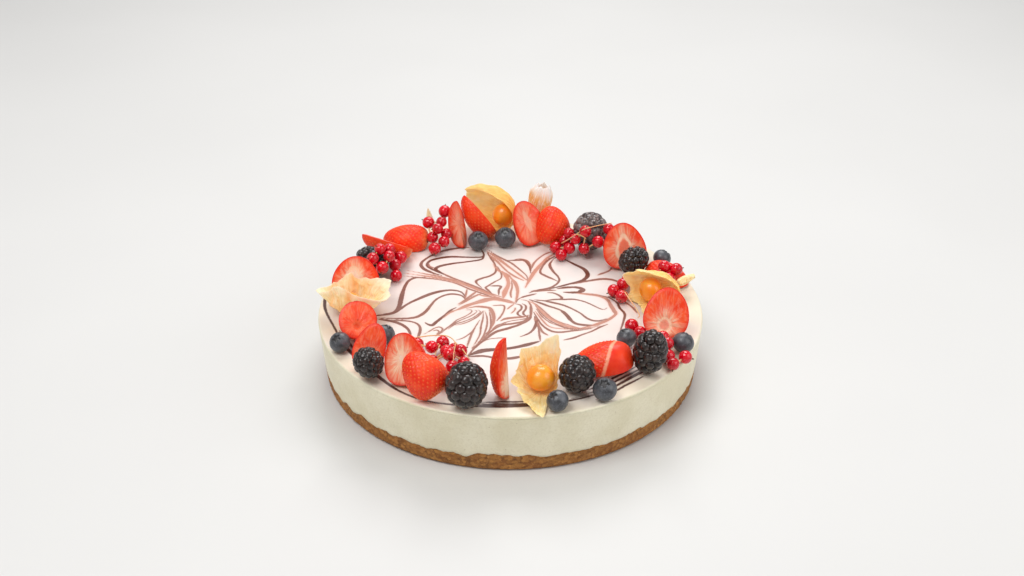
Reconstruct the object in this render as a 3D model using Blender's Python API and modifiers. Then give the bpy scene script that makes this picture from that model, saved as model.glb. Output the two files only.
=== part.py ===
"""White chocolate cake with a ring of fruit, for Blender 4.5.

A round cold-set cake, 240 mm across, in three layers: a pressed biscuit base, a white
chocolate filling and a thin white glaze. The glaze carries a ring of halved and
quartered strawberries, bramble berries, blueberries, physalis in their papery husks
and sprigs of redcurrants.

Metres, +Z up. The origin is the centre of the flat underside, and the front of the cake
is at -Y.
"""

import math
import random

import bmesh
import bpy
import numpy as np
from mathutils import Matrix, Vector, noise
from mathutils.bvhtree import BVHTree

MM = 0.001

# The layers
RIM_RADIUS = 120 * MM
FOOT_RADIUS = 117 * MM
CAKE_HEIGHT = 39.5 * MM
GLAZE_THICKNESS = 1.6 * MM
BASE_THICKNESS = 10 * MM
BASE_EDGE_SWING = 1.5 * MM
BASE_HUMP_HEIGHT = 2.6 * MM
BASE_HUMP_TURN = math.radians(267)
BASE_HUMP_WIDTH = math.radians(6)
BASE_EDGE_START = 0.9 * FOOT_RADIUS
BASE_EDGE_COARSE = 3.0
BASE_EDGE_FINE = 9.0
BASE_EDGE_FINE_SHARE = 0.6
SHARP_ANGLE = math.radians(35)
FOOT_BEVEL = 1.6 * MM
LAYER_GAP = 0.3 * MM
LAYER_SEGMENTS = 72
GLAZE_EDGE_STEPS = (90, 60, 30, 0)

# Clearance between pieces of fruit that touch
FRUIT_GAP = 0.35 * MM

# Facets
STRAWBERRY_SIDES = 14
STRAWBERRY_RINGS = 9
BERRY_SIDES = 10
BERRY_RINGS = 7
CURRANT_SIDES = 7
CURRANT_RINGS = 4
BRAMBLE_ROWS = (1, 6, 10, 11, 10, 6, 1)
HUSK_SEGMENTS = 20
HUSK_RINGS = 5

# Sizes that are the same for every piece of a kind
BRAMBLE_SEAM_DEPTH = 1.3 * MM
ROUND_THICKNESS = 12 * MM
BERRY_FLATNESS = 0.93
STRAWBERRY_WIDEST_POWER = 0.8
STRAWBERRY_FULLNESS_POWER = 0.8
STRAWBERRY_LENGTH_POWER = 0.94
STRAWBERRY_TIP_TAPER = 0.35
STRAWBERRY_TAPER_POWER = 3
CURRANT_RADIUS = 4.0 * MM
STALK_RADIUS = 0.55 * MM
STALK_SIDES = 5
CURRANT_SIZE_RANGE = (0.92, 1.08)
CROWN_ANGLE = 30
CROWN_DEPTH_SHARE = 0.22
CROWN_LIP_SHARE = 0.05
HUSK_THICKNESS = 0.5 * MM
HUSK_PETALS = 5
HUSK_BULB_SHARE = 0.4
HUSK_MID_ANGLE = 14
HUSK_FLOOR_GAP = 1.6 * MM
HUSK_RIB_DEPTH = 0.07
HUSK_NOTCH_POWER = 1.5
HUSK_PATH_STEPS = 16
HUSK_SMOOTHINGS = 6
HUSK_SMOOTHING_SHARE = 0.12
HUSK_DRAPE_MARGIN = 0.9 * MM
HUSK_STALK_RADII = (3.2 * MM, 2.2 * MM)
HUSK_STALK_SIDES = 8
LEAF_ROWS = (0.0, 0.35, 0.7, 1.0)
LEAF_POINT_POWER = 0.7
LEAF_FOLD_SHARE = 0.35
LEAF_POINT_WIDTH = 0.3 * MM

# The spreading of the fruit
SPREAD_ROUNDS = 160
SPREAD_DIRECTIONS = 260
HOME_PULL = 0.04
SPREAD_EXCESS = 1.02
LEVEL_SLOPE = 1e-3

SEED = 7

COLOURS = {
    "biscuit": ((0.44, 0.23, 0.09), 0.9),
    "filling": ((0.83, 0.77, 0.58), 0.5),
    "glaze": ((0.93, 0.88, 0.85), 0.3),
    "strawberry": ((0.80, 0.06, 0.02), 0.35),
    "bramble": ((0.03, 0.015, 0.03), 0.3),
    "blueberry": ((0.06, 0.08, 0.13), 0.55),
    "physalis": ((0.95, 0.38, 0.03), 0.3),
    "husk": ((0.86, 0.62, 0.27), 0.6),
    "redcurrant": ((0.62, 0.01, 0.03), 0.2),
}

# In these lists a place is x, y and the height of the middle over the glaze, in mm.

# Strawberry pieces: name, place, length and width in mm, the angle that the piece keeps
# (180 is a half, 0 is a round cut across), the direction of the tip and the direction
# that the cut face looks.
STRAWBERRIES = (
    ("strawberry_front_cut", (-62, -84, 13), (30, 27), 180, (-0.12, 0.45, 0.88), (-0.3, -0.75, 0.6)),
    ("strawberry_front_skin", (-46, -102, 11), (28, 25), 180, (-0.6, 0.3, 0.62), (-0.1, 0.85, -0.3)),
    ("strawberry_left_low", (-82, -71, 11), (27, 20), 180, (0.3, 0.5, 0.8), (-0.1, -0.8, 0.55)),
    ("strawberry_left_mid", (-91, -39, 10), (30, 24), 0, (0.1, -0.72, 0.68), (0, 1, 0)),
    ("strawberry_left_high", (-97, 10, 13), (28, 31), 180, (0.0, 0.4, 0.92), (0.05, -0.9, 0.4)),
    ("strawberry_back_wedge", (-82, 60, 8), (35, 22), 180, (-0.95, 0.15, 0.25), (0.1, 0.5, 0.85)),
    ("strawberry_back_left", (-71, 79, 5), (31, 23), 180, (-0.98, 0.1, 0.0), (0.0, 0.3, -0.95)),
    ("strawberry_back_quarter", (-36, 81, 14), (32, 22), 70, (-0.15, 0.35, 0.92), (0.85, -0.1, 0.5)),
    ("strawberry_back_leaning", (-22, 91, 13), (34, 23), 180, (-0.62, 0.2, 0.76), (0.6, 0.5, 0.6)),
    ("strawberry_far_cut", (13, 83, 13), (31, 24), 180, (-0.4, 0.25, 0.87), (0.35, -0.75, 0.55)),
    ("strawberry_far_skin", (29, 82, 12), (26, 25), 180, (-0.15, 0.4, 0.9), (-0.3, 0.85, -0.25)),
    ("strawberry_right_high", (75, 52, 14), (30, 29), 180, (-0.1, 0.4, 0.9), (-0.1, -0.85, 0.5)),
    ("strawberry_right_flat", (98, 32, 6), (30, 22), 180, (0.85, -0.5, 0.0), (0.1, 0.1, -0.98)),
    ("strawberry_right_cut", (93, -34, 12), (30, 28), 180, (0.1, 0.55, 0.82), (-0.1, -0.82, 0.55)),
    ("strawberry_front_right", (53, -73, 8), (38, 27), 180, (-0.96, -0.1, -0.16), (-0.16, -0.05, -1.0)),
    ("strawberry_front_wedge", (-6, -99, 17), (35, 21), 90, (-0.05, 0.25, 0.96), (0.55, 0.83, 0.1)),
)

# Bramble berries: name, place, length and width, direction of the tip.
BRAMBLES = (
    ("bramble_front", (-25, -109, 14), (28, 25), (0.1, 0.1, 0.9)),
    ("bramble_left", (-73, -81, 10), (23, 18), (-0.2, -0.5, 0.7)),
    ("bramble_left_back", (-90, 38, 9), (25, 20), (-0.7, 0.6, 0.1)),
    ("bramble_far", (54, 74, 14), (27, 25), (0.1, 0.2, 0.9)),
    ("bramble_right_back", (83, 35, 10), (22, 18), (0.8, 0.5, 0.2)),
    ("bramble_right", (79, -77, 14), (30, 21), (0.1, -0.15, 0.95)),
    ("bramble_front_right", (38, -95, 11), (24, 22), (0.3, -0.4, 0.8)),
)

# Blueberries: name, place, diameter, direction of the crown.
BLUEBERRIES = (
    ("blueberry_left_outer", (-98, -50, 6), 12.5, (-0.3, -0.5, 0.8)),
    ("blueberry_left_inner", (-78, -44, 6), 12.5, (0.5, 0.2, 0.8)),
    ("blueberry_back_left", (-22, 73, 7), 13.6, (0.1, -0.4, 0.9)),
    ("blueberry_back_right", (-3, 78, 7), 14.2, (0.0, -0.3, 0.9)),
    ("blueberry_right_back", (100, 50, 6), 12.0, (0.6, 0.3, 0.7)),
    ("blueberry_right_inner", (69, -48, 6), 12.0, (-0.4, 0.2, 0.9)),
    ("blueberry_right_outer", (102, -54, 7), 13.0, (0.4, 0.3, 0.8)),
    ("blueberry_front_outer", (51, -102, 7), 13.8, (-0.1, -0.35, 0.9)),
    ("blueberry_front_inner", (26, -113, 6), 12.5, (-0.5, -0.2, 0.8)),
)

# Physalis: name, place of the berry, then four sizes: the berry's diameter (0 where the
# husk is shut and the place is that of the bulb), the distance from the stalk to the
# berry's middle, the share of the usual width and how long the husk is between its petals
# as a share of their length. Then the direction from the stalk to the mouth, the direction
# that the first petal leans, and the end angle and length of each petal.
PHYSALIS = (
    (
        "physalis_front", (17, -96, 10), (16.0, 9.6, 1.0, 0.78), (0.0, 0.1, 1.0), (0.53, 0.85, 0.0),
        ((14, 42), (20, 31), (60, 19), (98, 27), (60, 10)),
    ),
    (
        "physalis_left", (-99, -12, 9), (13.0, 8.2, 1.0, 0.9), (0.0, 0.2, 0.95), (-1.0, 0.1, 0.0),
        ((46, 27), (14, 31), (56, 37), (46, 35), (10, 29)),
    ),
    (
        "physalis_back", (-5, 98, 14), (16.0, 9.6, 1.05, 0.96), (-0.92, 0.28, 0.24), (0.25, 0.45, 0.85),
        ((-64, 59), (-48, 57), (0, 34), (80, 9), (74, 9)),
    ),
    (
        "physalis_far", (17.5, 103, 10), (0.0, 9.6, 0.62, 0.94), (0.24, 0.05, 1.0), (0.0, 1.0, 0.0),
        ((-62, 49), (-60, 48), (-62, 47), (-60, 49), (-62, 48)),
    ),
    (
        "physalis_right", (88, 2, 10), (15.5, 17.0, 1.0, 0.78), (-0.88, -0.38, 0.0), (0.0, 0.0, 1.0),
        ((12, 38), (12, 40), (12, 39), (24, 43), (70, 18)),
    ),
)

# The twisted stalk of one husk: name, start and end as places
STALK = ("physalis_right_stalk", (106, 12, 8), (117, 17, 11))

# The tip of a husk leaf that stands behind the currants: name, foot, tip, width
LEAF_TIP = ("husk_leaf_tip", (-54, 97, 1), (-57, 98, 21), 11)

# Redcurrants: name, and the place of each berry along the stalk.
CURRANTS = (
    (
        "redcurrants_front",
        ((-55, -52, 4), (-46, -61, 8), (-40, -53, 6), (-33, -57, 4), (-29, -65, 8), (-37, -67, 9),
         (-45, -70, 4), (-35, -75, 12), (-27, -73, 5), (-33, -82, 8), (-37, -88, 4)),
    ),
    (
        "redcurrants_left_back",
        ((-85, 34, 18), (-88, 28, 17), (-83, 26, 13), (-79, 32, 18), (-80, 40, 17),
         (-77, 46, 13), (-74, 44, 10), (-77, 38, 9)),
    ),
    ("redcurrant_single", ((-74, 30, 4),)),
    (
        "redcurrants_back",
        ((-45, 91, 20), (-47, 85, 15), (-56, 86, 14), (-57, 77, 8), (-50, 76, 13), (-43, 79, 9),
         (-45, 72, 7), (-51, 66, 4)),
    ),
    (
        "redcurrants_far",
        ((63, 67, 19), (64, 65, 10), (57, 62, 14), (49, 60, 8), (50, 62, 20), (43, 62, 14),
         (42, 70, 13), (35, 72, 9), (31, 68, 5), (39, 62, 7), (34, 58, 4)),
    ),
    (
        "redcurrants_right_back",
        ((105, 22, 17), (99, 24, 18), (94, 17, 14), (101, 18, 13), (95, 14, 9)),
    ),
    ("redcurrants_right_inner", ((75, 22, 6), (71, 15, 6), (66, 11, 4), (70, 3, 4))),
    ("redcurrants_right", ((86, -46, 6), (81, -37, 5), (74, -33, 4))),
    (
        "redcurrants_right_outer",
        ((89, -50, 8), (92, -59, 9), (92, -65, 4), (94, -73, 4), (102, -66, 4)),
    ),
)


def clear_scene():
    """Removes the startup objects."""
    for obj in list(bpy.data.objects):
        bpy.data.objects.remove(obj, do_unlink=True)


def make_collection(name):
    """A new collection in the scene."""
    collection = bpy.data.collections.new(name)
    bpy.context.scene.collection.children.link(collection)
    return collection


def make_materials():
    """One plain material for each kind of surface."""
    made = {}
    for name, (colour, roughness) in COLOURS.items():
        material = bpy.data.materials.new(name)
        material.use_nodes = True
        shader = material.node_tree.nodes["Principled BSDF"]
        shader.inputs["Base Color"].default_value = (*colour, 1.0)
        shader.inputs["Roughness"].default_value = roughness
        material.diffuse_color = (*colour, 1.0)
        made[name] = material
    return made


def object_from(name, work, material, collection):
    """A named object from a bmesh, which is freed."""
    mesh = bpy.data.meshes.new(name)
    bmesh.ops.recalc_face_normals(work, faces=work.faces)
    work.to_mesh(mesh)
    work.free()
    mesh.shade_smooth()
    mesh.set_sharp_from_angle(angle=SHARP_ANGLE)
    mesh.materials.append(material)
    obj = bpy.data.objects.new(name, mesh)
    collection.objects.link(obj)
    return obj


def lathe(profile):
    """A bmesh turned from (radius, height) points that start and end on the axis."""
    work = bmesh.new()
    points = [work.verts.new((radius, 0.0, height)) for radius, height in profile]
    edges = [work.edges.new(pair) for pair in zip(points, points[1:])]
    bmesh.ops.spin(
        work,
        geom=points + edges,
        cent=(0, 0, 0),
        axis=(0, 0, 1),
        angle=math.tau,
        steps=LAYER_SEGMENTS,
        use_merge=True,
    )
    bmesh.ops.remove_doubles(work, verts=work.verts, dist=1e-6)
    return work


def base_edge(turn):
    """Height of the ragged line where the biscuit meets the filling, at a turn round the cake."""
    around = Vector((math.cos(turn), math.sin(turn), 0.0))
    coarse = noise.noise(around * BASE_EDGE_COARSE + Vector((5.0, 0.0, 0.0)))
    fine = noise.noise(around * BASE_EDGE_FINE)
    from_hump = math.remainder(turn - BASE_HUMP_TURN, math.tau) / BASE_HUMP_WIDTH
    hump = BASE_HUMP_HEIGHT * math.exp(-(from_hump**2))
    return BASE_THICKNESS + BASE_EDGE_SWING * (coarse + BASE_EDGE_FINE_SHARE * fine) + hump


def follow_base_edge(work, gap):
    """Lifts the points at the top of the base to the ragged line, plus a gap, near the side."""
    for vert in work.verts:
        if abs(vert.co.z - BASE_THICKNESS) > 1e-5:
            continue
        radius = math.hypot(vert.co.x, vert.co.y)
        share = max(0.0, (radius - BASE_EDGE_START) / (FOOT_RADIUS - BASE_EDGE_START))
        ragged = base_edge(math.atan2(vert.co.y, vert.co.x))
        vert.co.z = BASE_THICKNESS + share * (ragged - BASE_THICKNESS) + gap


def split_ragged_ring(work):
    """Splits the faces at the ragged line along the same diagonals, so that two layers match."""
    for face in list(work.faces):
        radii = {vert: math.hypot(vert.co.x, vert.co.y) for vert in face.verts}
        slopes = abs(face.normal.z) > 0.5 and min(radii.values()) > 0.5 * BASE_EDGE_START
        if len(face.verts) != 4 or not slopes:
            continue
        centre = face.calc_center_median()
        inner, outer = sorted(face.verts, key=radii.get)[:2], sorted(face.verts, key=radii.get)[2:]
        first = max(inner, key=lambda vert: centre.cross(vert.co).z)
        last = min(outer, key=lambda vert: centre.cross(vert.co).z)
        bmesh.utils.face_split(face, first, last)


def wall_radius(height):
    """Radius of the slightly tapering side at a height."""
    return FOOT_RADIUS + (RIM_RADIUS - FOOT_RADIUS) * height / CAKE_HEIGHT


def make_base(material, collection):
    """The pressed biscuit layer, with a ragged upper edge."""
    profile = [
        (0.0, BASE_THICKNESS),
        (BASE_EDGE_START, BASE_THICKNESS),
        (wall_radius(BASE_THICKNESS), BASE_THICKNESS),
        (wall_radius(FOOT_BEVEL), FOOT_BEVEL),
        (FOOT_RADIUS - FOOT_BEVEL, 0.0),
        (0.0, 0.0),
    ]
    work = lathe(profile)
    follow_base_edge(work, 0.0)
    split_ragged_ring(work)
    return object_from("biscuit_base", work, material, collection)


def make_filling(material, collection):
    """The white chocolate layer, from the ragged line up to the glaze."""
    top = CAKE_HEIGHT - GLAZE_THICKNESS
    middle = 0.5 * CAKE_HEIGHT
    profile = [
        (0.0, top),
        (wall_radius(top), top),
        (wall_radius(middle), middle),
        (wall_radius(BASE_THICKNESS), BASE_THICKNESS),
        (BASE_EDGE_START, BASE_THICKNESS),
        (0.0, BASE_THICKNESS),
    ]
    work = lathe(profile)
    follow_base_edge(work, LAYER_GAP)
    split_ragged_ring(work)
    return object_from("white_filling", work, material, collection)


def make_glaze(material, collection):
    """The thin top layer, with its outer edge rounded off."""
    low = CAKE_HEIGHT - GLAZE_THICKNESS + LAYER_GAP
    edge = CAKE_HEIGHT - low
    rounded = [
        (RIM_RADIUS - edge * (1 - math.cos(turn)), low + edge * math.sin(turn))
        for turn in map(math.radians, GLAZE_EDGE_STEPS)
    ]
    work = lathe([(0.0, CAKE_HEIGHT), *rounded, (0.0, low)])
    return object_from("white_glaze", work, material, collection)


def strawberry_body(length, width):
    """A bmesh of a whole strawberry, tip up, with the middle of its length at the origin."""
    work = bmesh.new()
    bmesh.ops.create_uvsphere(
        work, u_segments=STRAWBERRY_SIDES, v_segments=STRAWBERRY_RINGS, radius=1.0
    )
    for vert in work.verts:
        share = math.acos(max(-1.0, min(1.0, -vert.co.z))) / math.pi
        swell = max(0.0, math.sin(math.pi * share**STRAWBERRY_WIDEST_POWER))
        taper = 1 - STRAWBERRY_TIP_TAPER * share**STRAWBERRY_TAPER_POWER
        reach = 0.5 * width * taper * swell**STRAWBERRY_FULLNESS_POWER
        flat = math.hypot(vert.co.x, vert.co.y)
        if flat > 1e-6:
            vert.co.x *= reach / flat
            vert.co.y *= reach / flat
        vert.co.z = -0.5 * length * math.cos(math.pi * share**STRAWBERRY_LENGTH_POWER)
    return work


def cut_away(work, normal, height=0.0):
    """Cuts a bmesh by a plane, keeps what lies behind it and closes the cut."""
    cut = bmesh.ops.bisect_plane(
        work,
        geom=work.verts[:] + work.edges[:] + work.faces[:],
        dist=1e-7,
        plane_co=(0, 0, height),
        plane_no=normal,
        clear_outer=True,
    )
    edges = [item for item in cut["geom_cut"] if isinstance(item, bmesh.types.BMEdge)]
    bmesh.ops.holes_fill(work, edges=edges)


def make_strawberry(name, size, keep_angle, material, collection):
    """A half, a wedge or a round of a strawberry.

    The tip of a half or a wedge is at +Z, and its cut face looks along +Y.
    A round is a slice from the stalk end, with its cut face looking along +Z.
    """
    work = strawberry_body(size[0] * MM, size[1] * MM)
    if keep_angle == 0:
        cut_away(work, (0, 0, 1))
        cut_away(work, (0, 0, -1), -ROUND_THICKNESS)
    else:
        turn = math.radians(keep_angle)
        cut_away(work, (0, 1, 0))
        if keep_angle < 180:
            cut_away(work, (math.sin(turn), -math.cos(turn), 0))
    bmesh.ops.triangulate(work, faces=[face for face in work.faces if len(face.verts) > 4])
    return object_from(name, work, material, collection)


def make_bramble(name, size, material, collection):
    """A bramble berry: rows of drupelets with every seam between two of them pushed in."""
    length = size[0] * MM
    width = size[1] * MM
    work = bmesh.new()
    for row, count in enumerate(BRAMBLE_ROWS):
        tilt = math.pi * row / (len(BRAMBLE_ROWS) - 1)
        for step in range(count):
            turn = math.tau * (step + 0.5 * (row % 2)) / count
            flat = math.sin(tilt)
            work.verts.new((flat * math.cos(turn), flat * math.sin(turn), math.cos(tilt)))
    bmesh.ops.convex_hull(work, input=work.verts)
    work.verts.ensure_lookup_table()
    peaks = [vert.co.copy() for vert in work.verts]
    bmesh.ops.subdivide_edges(work, edges=work.edges[:], cuts=1, use_grid_fill=True)
    for vert in work.verts:
        is_peak = min((vert.co - peak).length for peak in peaks) < 1e-5
        direction = vert.co.normalized()
        reach = 1.0 if is_peak else 1.0 - 2 * BRAMBLE_SEAM_DEPTH / width
        vert.co.x = 0.5 * width * reach * direction.x
        vert.co.y = 0.5 * width * reach * direction.y
        vert.co.z = 0.5 * length * reach * direction.z
    bmesh.ops.triangulate(work, faces=work.faces)
    return object_from(name, work, material, collection)


def make_berry(name, diameter, has_crown, material, collection):
    """A round berry, slightly flattened. A crown is a shallow cup with a raised lip at +Z."""
    radius = 0.5 * diameter * MM
    work = bmesh.new()
    bmesh.ops.create_uvsphere(work, u_segments=BERRY_SIDES, v_segments=BERRY_RINGS, radius=radius)
    for vert in work.verts:
        tilt = math.degrees(vert.co.angle(Vector((0, 0, 1))))
        vert.co.z *= BERRY_FLATNESS
        if has_crown and tilt < 1:
            vert.co.z -= CROWN_DEPTH_SHARE * radius
        elif has_crown and tilt < CROWN_ANGLE:
            vert.co.z += CROWN_LIP_SHARE * radius
    return object_from(name, work, material, collection)


def make_ball(name, radius, material, collection):
    """One coarse currant."""
    work = bmesh.new()
    bmesh.ops.create_uvsphere(
        work, u_segments=CURRANT_SIDES, v_segments=CURRANT_RINGS, radius=radius
    )
    return object_from(name, work, material, collection)


def turned(first, second):
    """Rotation whose +Z is the first direction and whose +Y is as near the second as it can be."""
    up = Vector(first).normalized()
    ahead = Vector(second)
    ahead = (ahead - up * ahead.dot(up)).normalized()
    side = ahead.cross(up)
    return Matrix((side, ahead, up)).transposed().to_4x4()


def world_mesh(obj):
    """The points and faces of an object as it stands."""
    points = [obj.matrix_world @ vert.co for vert in obj.data.vertices]
    faces = [tuple(face.vertices) for face in obj.data.polygons]
    return points, faces


def place(obj, spot, rotation):
    """Turns an object and puts the middle of its box at a spot, given in mm over the glaze."""
    obj.matrix_world = rotation
    points = np.array(world_mesh(obj)[0])
    middle = 0.5 * (points.min(axis=0) + points.max(axis=0))
    wanted = Vector((spot[0] * MM, spot[1] * MM, spot[2] * MM + CAKE_HEIGHT))
    obj.matrix_world = Matrix.Translation(wanted - Vector(middle)) @ rotation


def even_directions(count):
    """Unit vectors spread evenly over a sphere."""
    steps = np.arange(count) + 0.5
    heights = 1 - 2 * steps / count
    turns = steps * math.pi * (1 + math.sqrt(5))
    flat = np.sqrt(1 - heights**2)
    return np.stack([flat * np.cos(turns), flat * np.sin(turns), heights], axis=1)


class Heap:
    """Pieces of fruit that are spread until none cuts into another, then lowered until each rests.

    A piece stands here for its outermost points in a set of directions. Two pieces are
    apart where the least point of one lies past the greatest of the other in one of them.
    The pieces of one group are lowered together. A piece with no group stays at its height.
    """

    def __init__(self):
        self.objects = []
        self.groups = []
        self.floor_gaps = []
        self.flat_directions = []

    def lay(self, obj, spot, rotation, group="", floor_gap=FRUIT_GAP):
        """Adds an object at a spot."""
        place(obj, spot, rotation)
        self.objects.append(obj)
        self.groups.append(group)
        self.floor_gaps.append(floor_gap)

    def measure(self):
        """Finds how far every piece reaches in each direction."""
        self.directions = np.vstack([even_directions(SPREAD_DIRECTIONS), self.flat_directions])
        clouds = [np.array(world_mesh(obj)[0]) for obj in self.objects]
        self.group_names = np.array(self.groups)
        self.most = np.array([(cloud @ self.directions.T).max(axis=0) for cloud in clouds])
        self.least = np.array([(cloud @ self.directions.T).min(axis=0) for cloud in clouds])
        self.bottom = np.array([cloud[:, 2].min() for cloud in clouds])
        self.floor = CAKE_HEIGHT + np.array(self.floor_gaps)
        self.weight = np.array([np.ptp(cloud, axis=0).prod() for cloud in clouds])
        self.shift = np.zeros((len(clouds), 3))

    def gaps_from(self, index):
        """The gap from one piece to every other, in each direction."""
        moved = self.shift @ self.directions.T
        return self.least + moved - self.most[index] - moved[index]

    def gaps_to(self, index):
        """The gap from every other piece to one piece, in each direction."""
        moved = self.shift @ self.directions.T
        return self.least[index] + moved[index] - self.most - moved

    def spread(self):
        """Pushes pieces apart in rounds. In the first half each is drawn a little to its place."""
        for number in range(SPREAD_ROUNDS):
            if number < SPREAD_ROUNDS // 2:
                self.shift *= 1 - HOME_PULL
            for index in range(len(self.objects)):
                gaps = self.gaps_from(index)
                gaps[index] = math.inf
                best = gaps.argmax(axis=1)
                widest = gaps[np.arange(len(gaps)), best]
                for other in np.flatnonzero(widest < FRUIT_GAP):
                    missing = SPREAD_EXCESS * FRUIT_GAP - widest[other]
                    push = missing * self.directions[best[other]]
                    share = self.weight[index] / (self.weight[index] + self.weight[other])
                    self.shift[other] += push * share
                    self.shift[index] -= push * (1 - share)
            sunk = self.floor - self.bottom - self.shift[:, 2]
            self.shift[:, 2] += np.maximum(sunk, 0.0)

    def room_under(self, index):
        """How far one piece can sink before it meets the glaze or a piece of another group."""
        slope = self.directions[:, 2]
        gaps = self.gaps_to(index) - FRUIT_GAP
        level = slope < LEVEL_SLOPE
        room = np.where(level, math.inf, gaps / np.maximum(slope, LEVEL_SLOPE))
        room[gaps < 0] = 0.0
        by_piece = room.max(axis=1)
        by_piece[self.group_names == self.group_names[index]] = math.inf
        return min(by_piece.min(), self.bottom[index] + self.shift[index, 2] - self.floor[index])

    def settle(self):
        """Lowers the groups in turn, the lowest first."""
        low = self.bottom + self.shift[:, 2]
        groups = sorted(set(self.groups) - {""})
        for group in sorted(groups, key=lambda group: low[self.group_names == group].min()):
            members = np.flatnonzero(self.group_names == group)
            fall = min(self.room_under(index) for index in members)
            self.shift[members, 2] -= max(fall, 0.0)

    def move_objects(self):
        """Moves the objects to where their pieces came to lie."""
        for obj, shift in zip(self.objects, self.shift):
            obj.matrix_world = Matrix.Translation(shift) @ obj.matrix_world


def husk_petal(turn, petals):
    """The end angle and the length of the husk at a turn, blended between its petals."""
    along = (turn / math.tau * HUSK_PETALS) % HUSK_PETALS
    first = int(along) % HUSK_PETALS
    share = along - int(along)
    blend = share * share * (3 - 2 * share)
    before = petals[first]
    after = petals[(first + 1) % HUSK_PETALS]
    return [a * (1 - blend) + b * blend for a, b in zip(before, after)]


def husk_point(share, turn, petals, notch):
    """A point of the husk: it starts sideways from the stalk, bends up round the berry and
    then bends on to the end angle of its petal."""
    end, length = husk_petal(turn, petals)
    to_tip = abs(math.cos(0.5 * HUSK_PETALS * turn)) ** HUSK_NOTCH_POWER
    length *= (notch + (1 - notch) * to_tip) * MM
    middle = max(HUSK_MID_ANGLE, end)
    radius = 0.0
    height = 0.0
    for step in range(HUSK_PATH_STEPS):
        along = share * (step + 0.5) / HUSK_PATH_STEPS
        if along < HUSK_BULB_SHARE:
            lean = 90 + (middle - 90) * along / HUSK_BULB_SHARE
        else:
            past = (along - HUSK_BULB_SHARE) / (1 - HUSK_BULB_SHARE)
            lean = middle + (end - middle) * past
        radius += math.sin(math.radians(lean)) * share * length / HUSK_PATH_STEPS
        height += math.cos(math.radians(lean)) * share * length / HUSK_PATH_STEPS
    radius *= 1.0 + HUSK_RIB_DEPTH * math.cos(HUSK_PETALS * turn) * share
    return Vector((radius * math.cos(turn), radius * math.sin(turn), height))


def is_inside(point, solid):
    """Whether a point lies in a closed solid: a line from it crosses the skin an odd number of times."""
    line = Vector((0.12, 0.07, 1.0)).normalized()
    crossings = 0
    hit = solid.ray_cast(point, line)[0]
    while hit is not None:
        crossings += 1
        hit = solid.ray_cast(hit + line * 1e-6, line)[0]
    return crossings % 2 == 1


def clear_of(point, solids, shells, reach):
    """A point, moved until it is a reach away from the solids, the shells and the glaze."""
    for tree in solids + shells:
        near, normal, _, distance = tree.find_nearest(point)
        away = (point - near) / max(distance, 1e-9)
        if tree in solids and is_inside(point, tree):
            point = near - away * reach
        elif distance < reach:
            point = near + away * reach
    point.z = max(point.z, CAKE_HEIGHT + reach)
    return point


def drape(work, solids, shells):
    """Moves the points of a thin sheet out of what it lies against, and smooths it a little."""
    reach = FRUIT_GAP + 0.5 * HUSK_THICKNESS + HUSK_DRAPE_MARGIN
    bmesh.ops.triangulate(work, faces=work.faces)
    for _ in range(HUSK_SMOOTHINGS):
        for vert in work.verts:
            vert.co = clear_of(vert.co, solids, shells, reach)
        for part in [*work.edges, *work.faces]:
            middle = sum((vert.co for vert in part.verts), Vector()) / len(part.verts)
            moved = clear_of(middle.copy(), solids, shells, reach) - middle
            for vert in part.verts:
                vert.co += moved
        bmesh.ops.smooth_vert(
            work,
            verts=work.verts,
            factor=HUSK_SMOOTHING_SHARE,
            use_axis_x=True,
            use_axis_y=True,
            use_axis_z=True,
        )
    for vert in work.verts:
        vert.co = clear_of(vert.co, solids, shells, reach)


def thin_shell(name, work, material, collection):
    """A sheet given the thickness of a husk."""
    sheet = object_from(name, work, material, collection)
    shell = sheet.modifiers.new("shell", "SOLIDIFY")
    shell.thickness = HUSK_THICKNESS
    shell.offset = 0.0
    return sheet


def make_husk(name, petals, notch, matrix, solids, shells, material, collection):
    """A papery husk of five joined petals, draped over what it lies against."""
    work = bmesh.new()
    rings = [[work.verts.new((0, 0, 0))] * HUSK_SEGMENTS]
    for ring in range(1, HUSK_RINGS + 1):
        turns = [math.tau * step / HUSK_SEGMENTS for step in range(HUSK_SEGMENTS)]
        points = [husk_point(ring / HUSK_RINGS, turn, petals, notch) for turn in turns]
        rings.append([work.verts.new(point) for point in points])
    for inner, outer in zip(rings, rings[1:]):
        for step in range(HUSK_SEGMENTS):
            after = (step + 1) % HUSK_SEGMENTS
            corners = [inner[step], outer[step], outer[after], inner[after]]
            work.faces.new(list(dict.fromkeys(corners)))
    work.transform(matrix)
    drape(work, solids, shells)
    return thin_shell(name, work, material, collection)


def make_leaf_tip(name, foot, tip, width, solids, shells, material, collection):
    """The narrow end of a husk leaf, folded along its middle."""
    work = bmesh.new()
    start = Vector(foot) * MM
    along = (Vector(tip) - Vector(foot)) * MM
    rows = []
    for share in LEAF_ROWS:
        half = 0.5 * width * MM * (1 - share) ** LEAF_POINT_POWER + LEAF_POINT_WIDTH
        middle = start + along * share + Vector((0, 0, CAKE_HEIGHT))
        fold = Vector((0, LEAF_FOLD_SHARE * half, 0))
        rows.append(
            [
                work.verts.new(middle - Vector((half, 0, 0)) + fold),
                work.verts.new(middle - fold),
                work.verts.new(middle + Vector((half, 0, 0)) + fold),
            ]
        )
    for low, high in zip(rows, rows[1:]):
        for side in (0, 1):
            work.faces.new((low[side], low[side + 1], high[side + 1], high[side]))
    drape(work, solids, shells)
    return thin_shell(name, work, material, collection)


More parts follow.
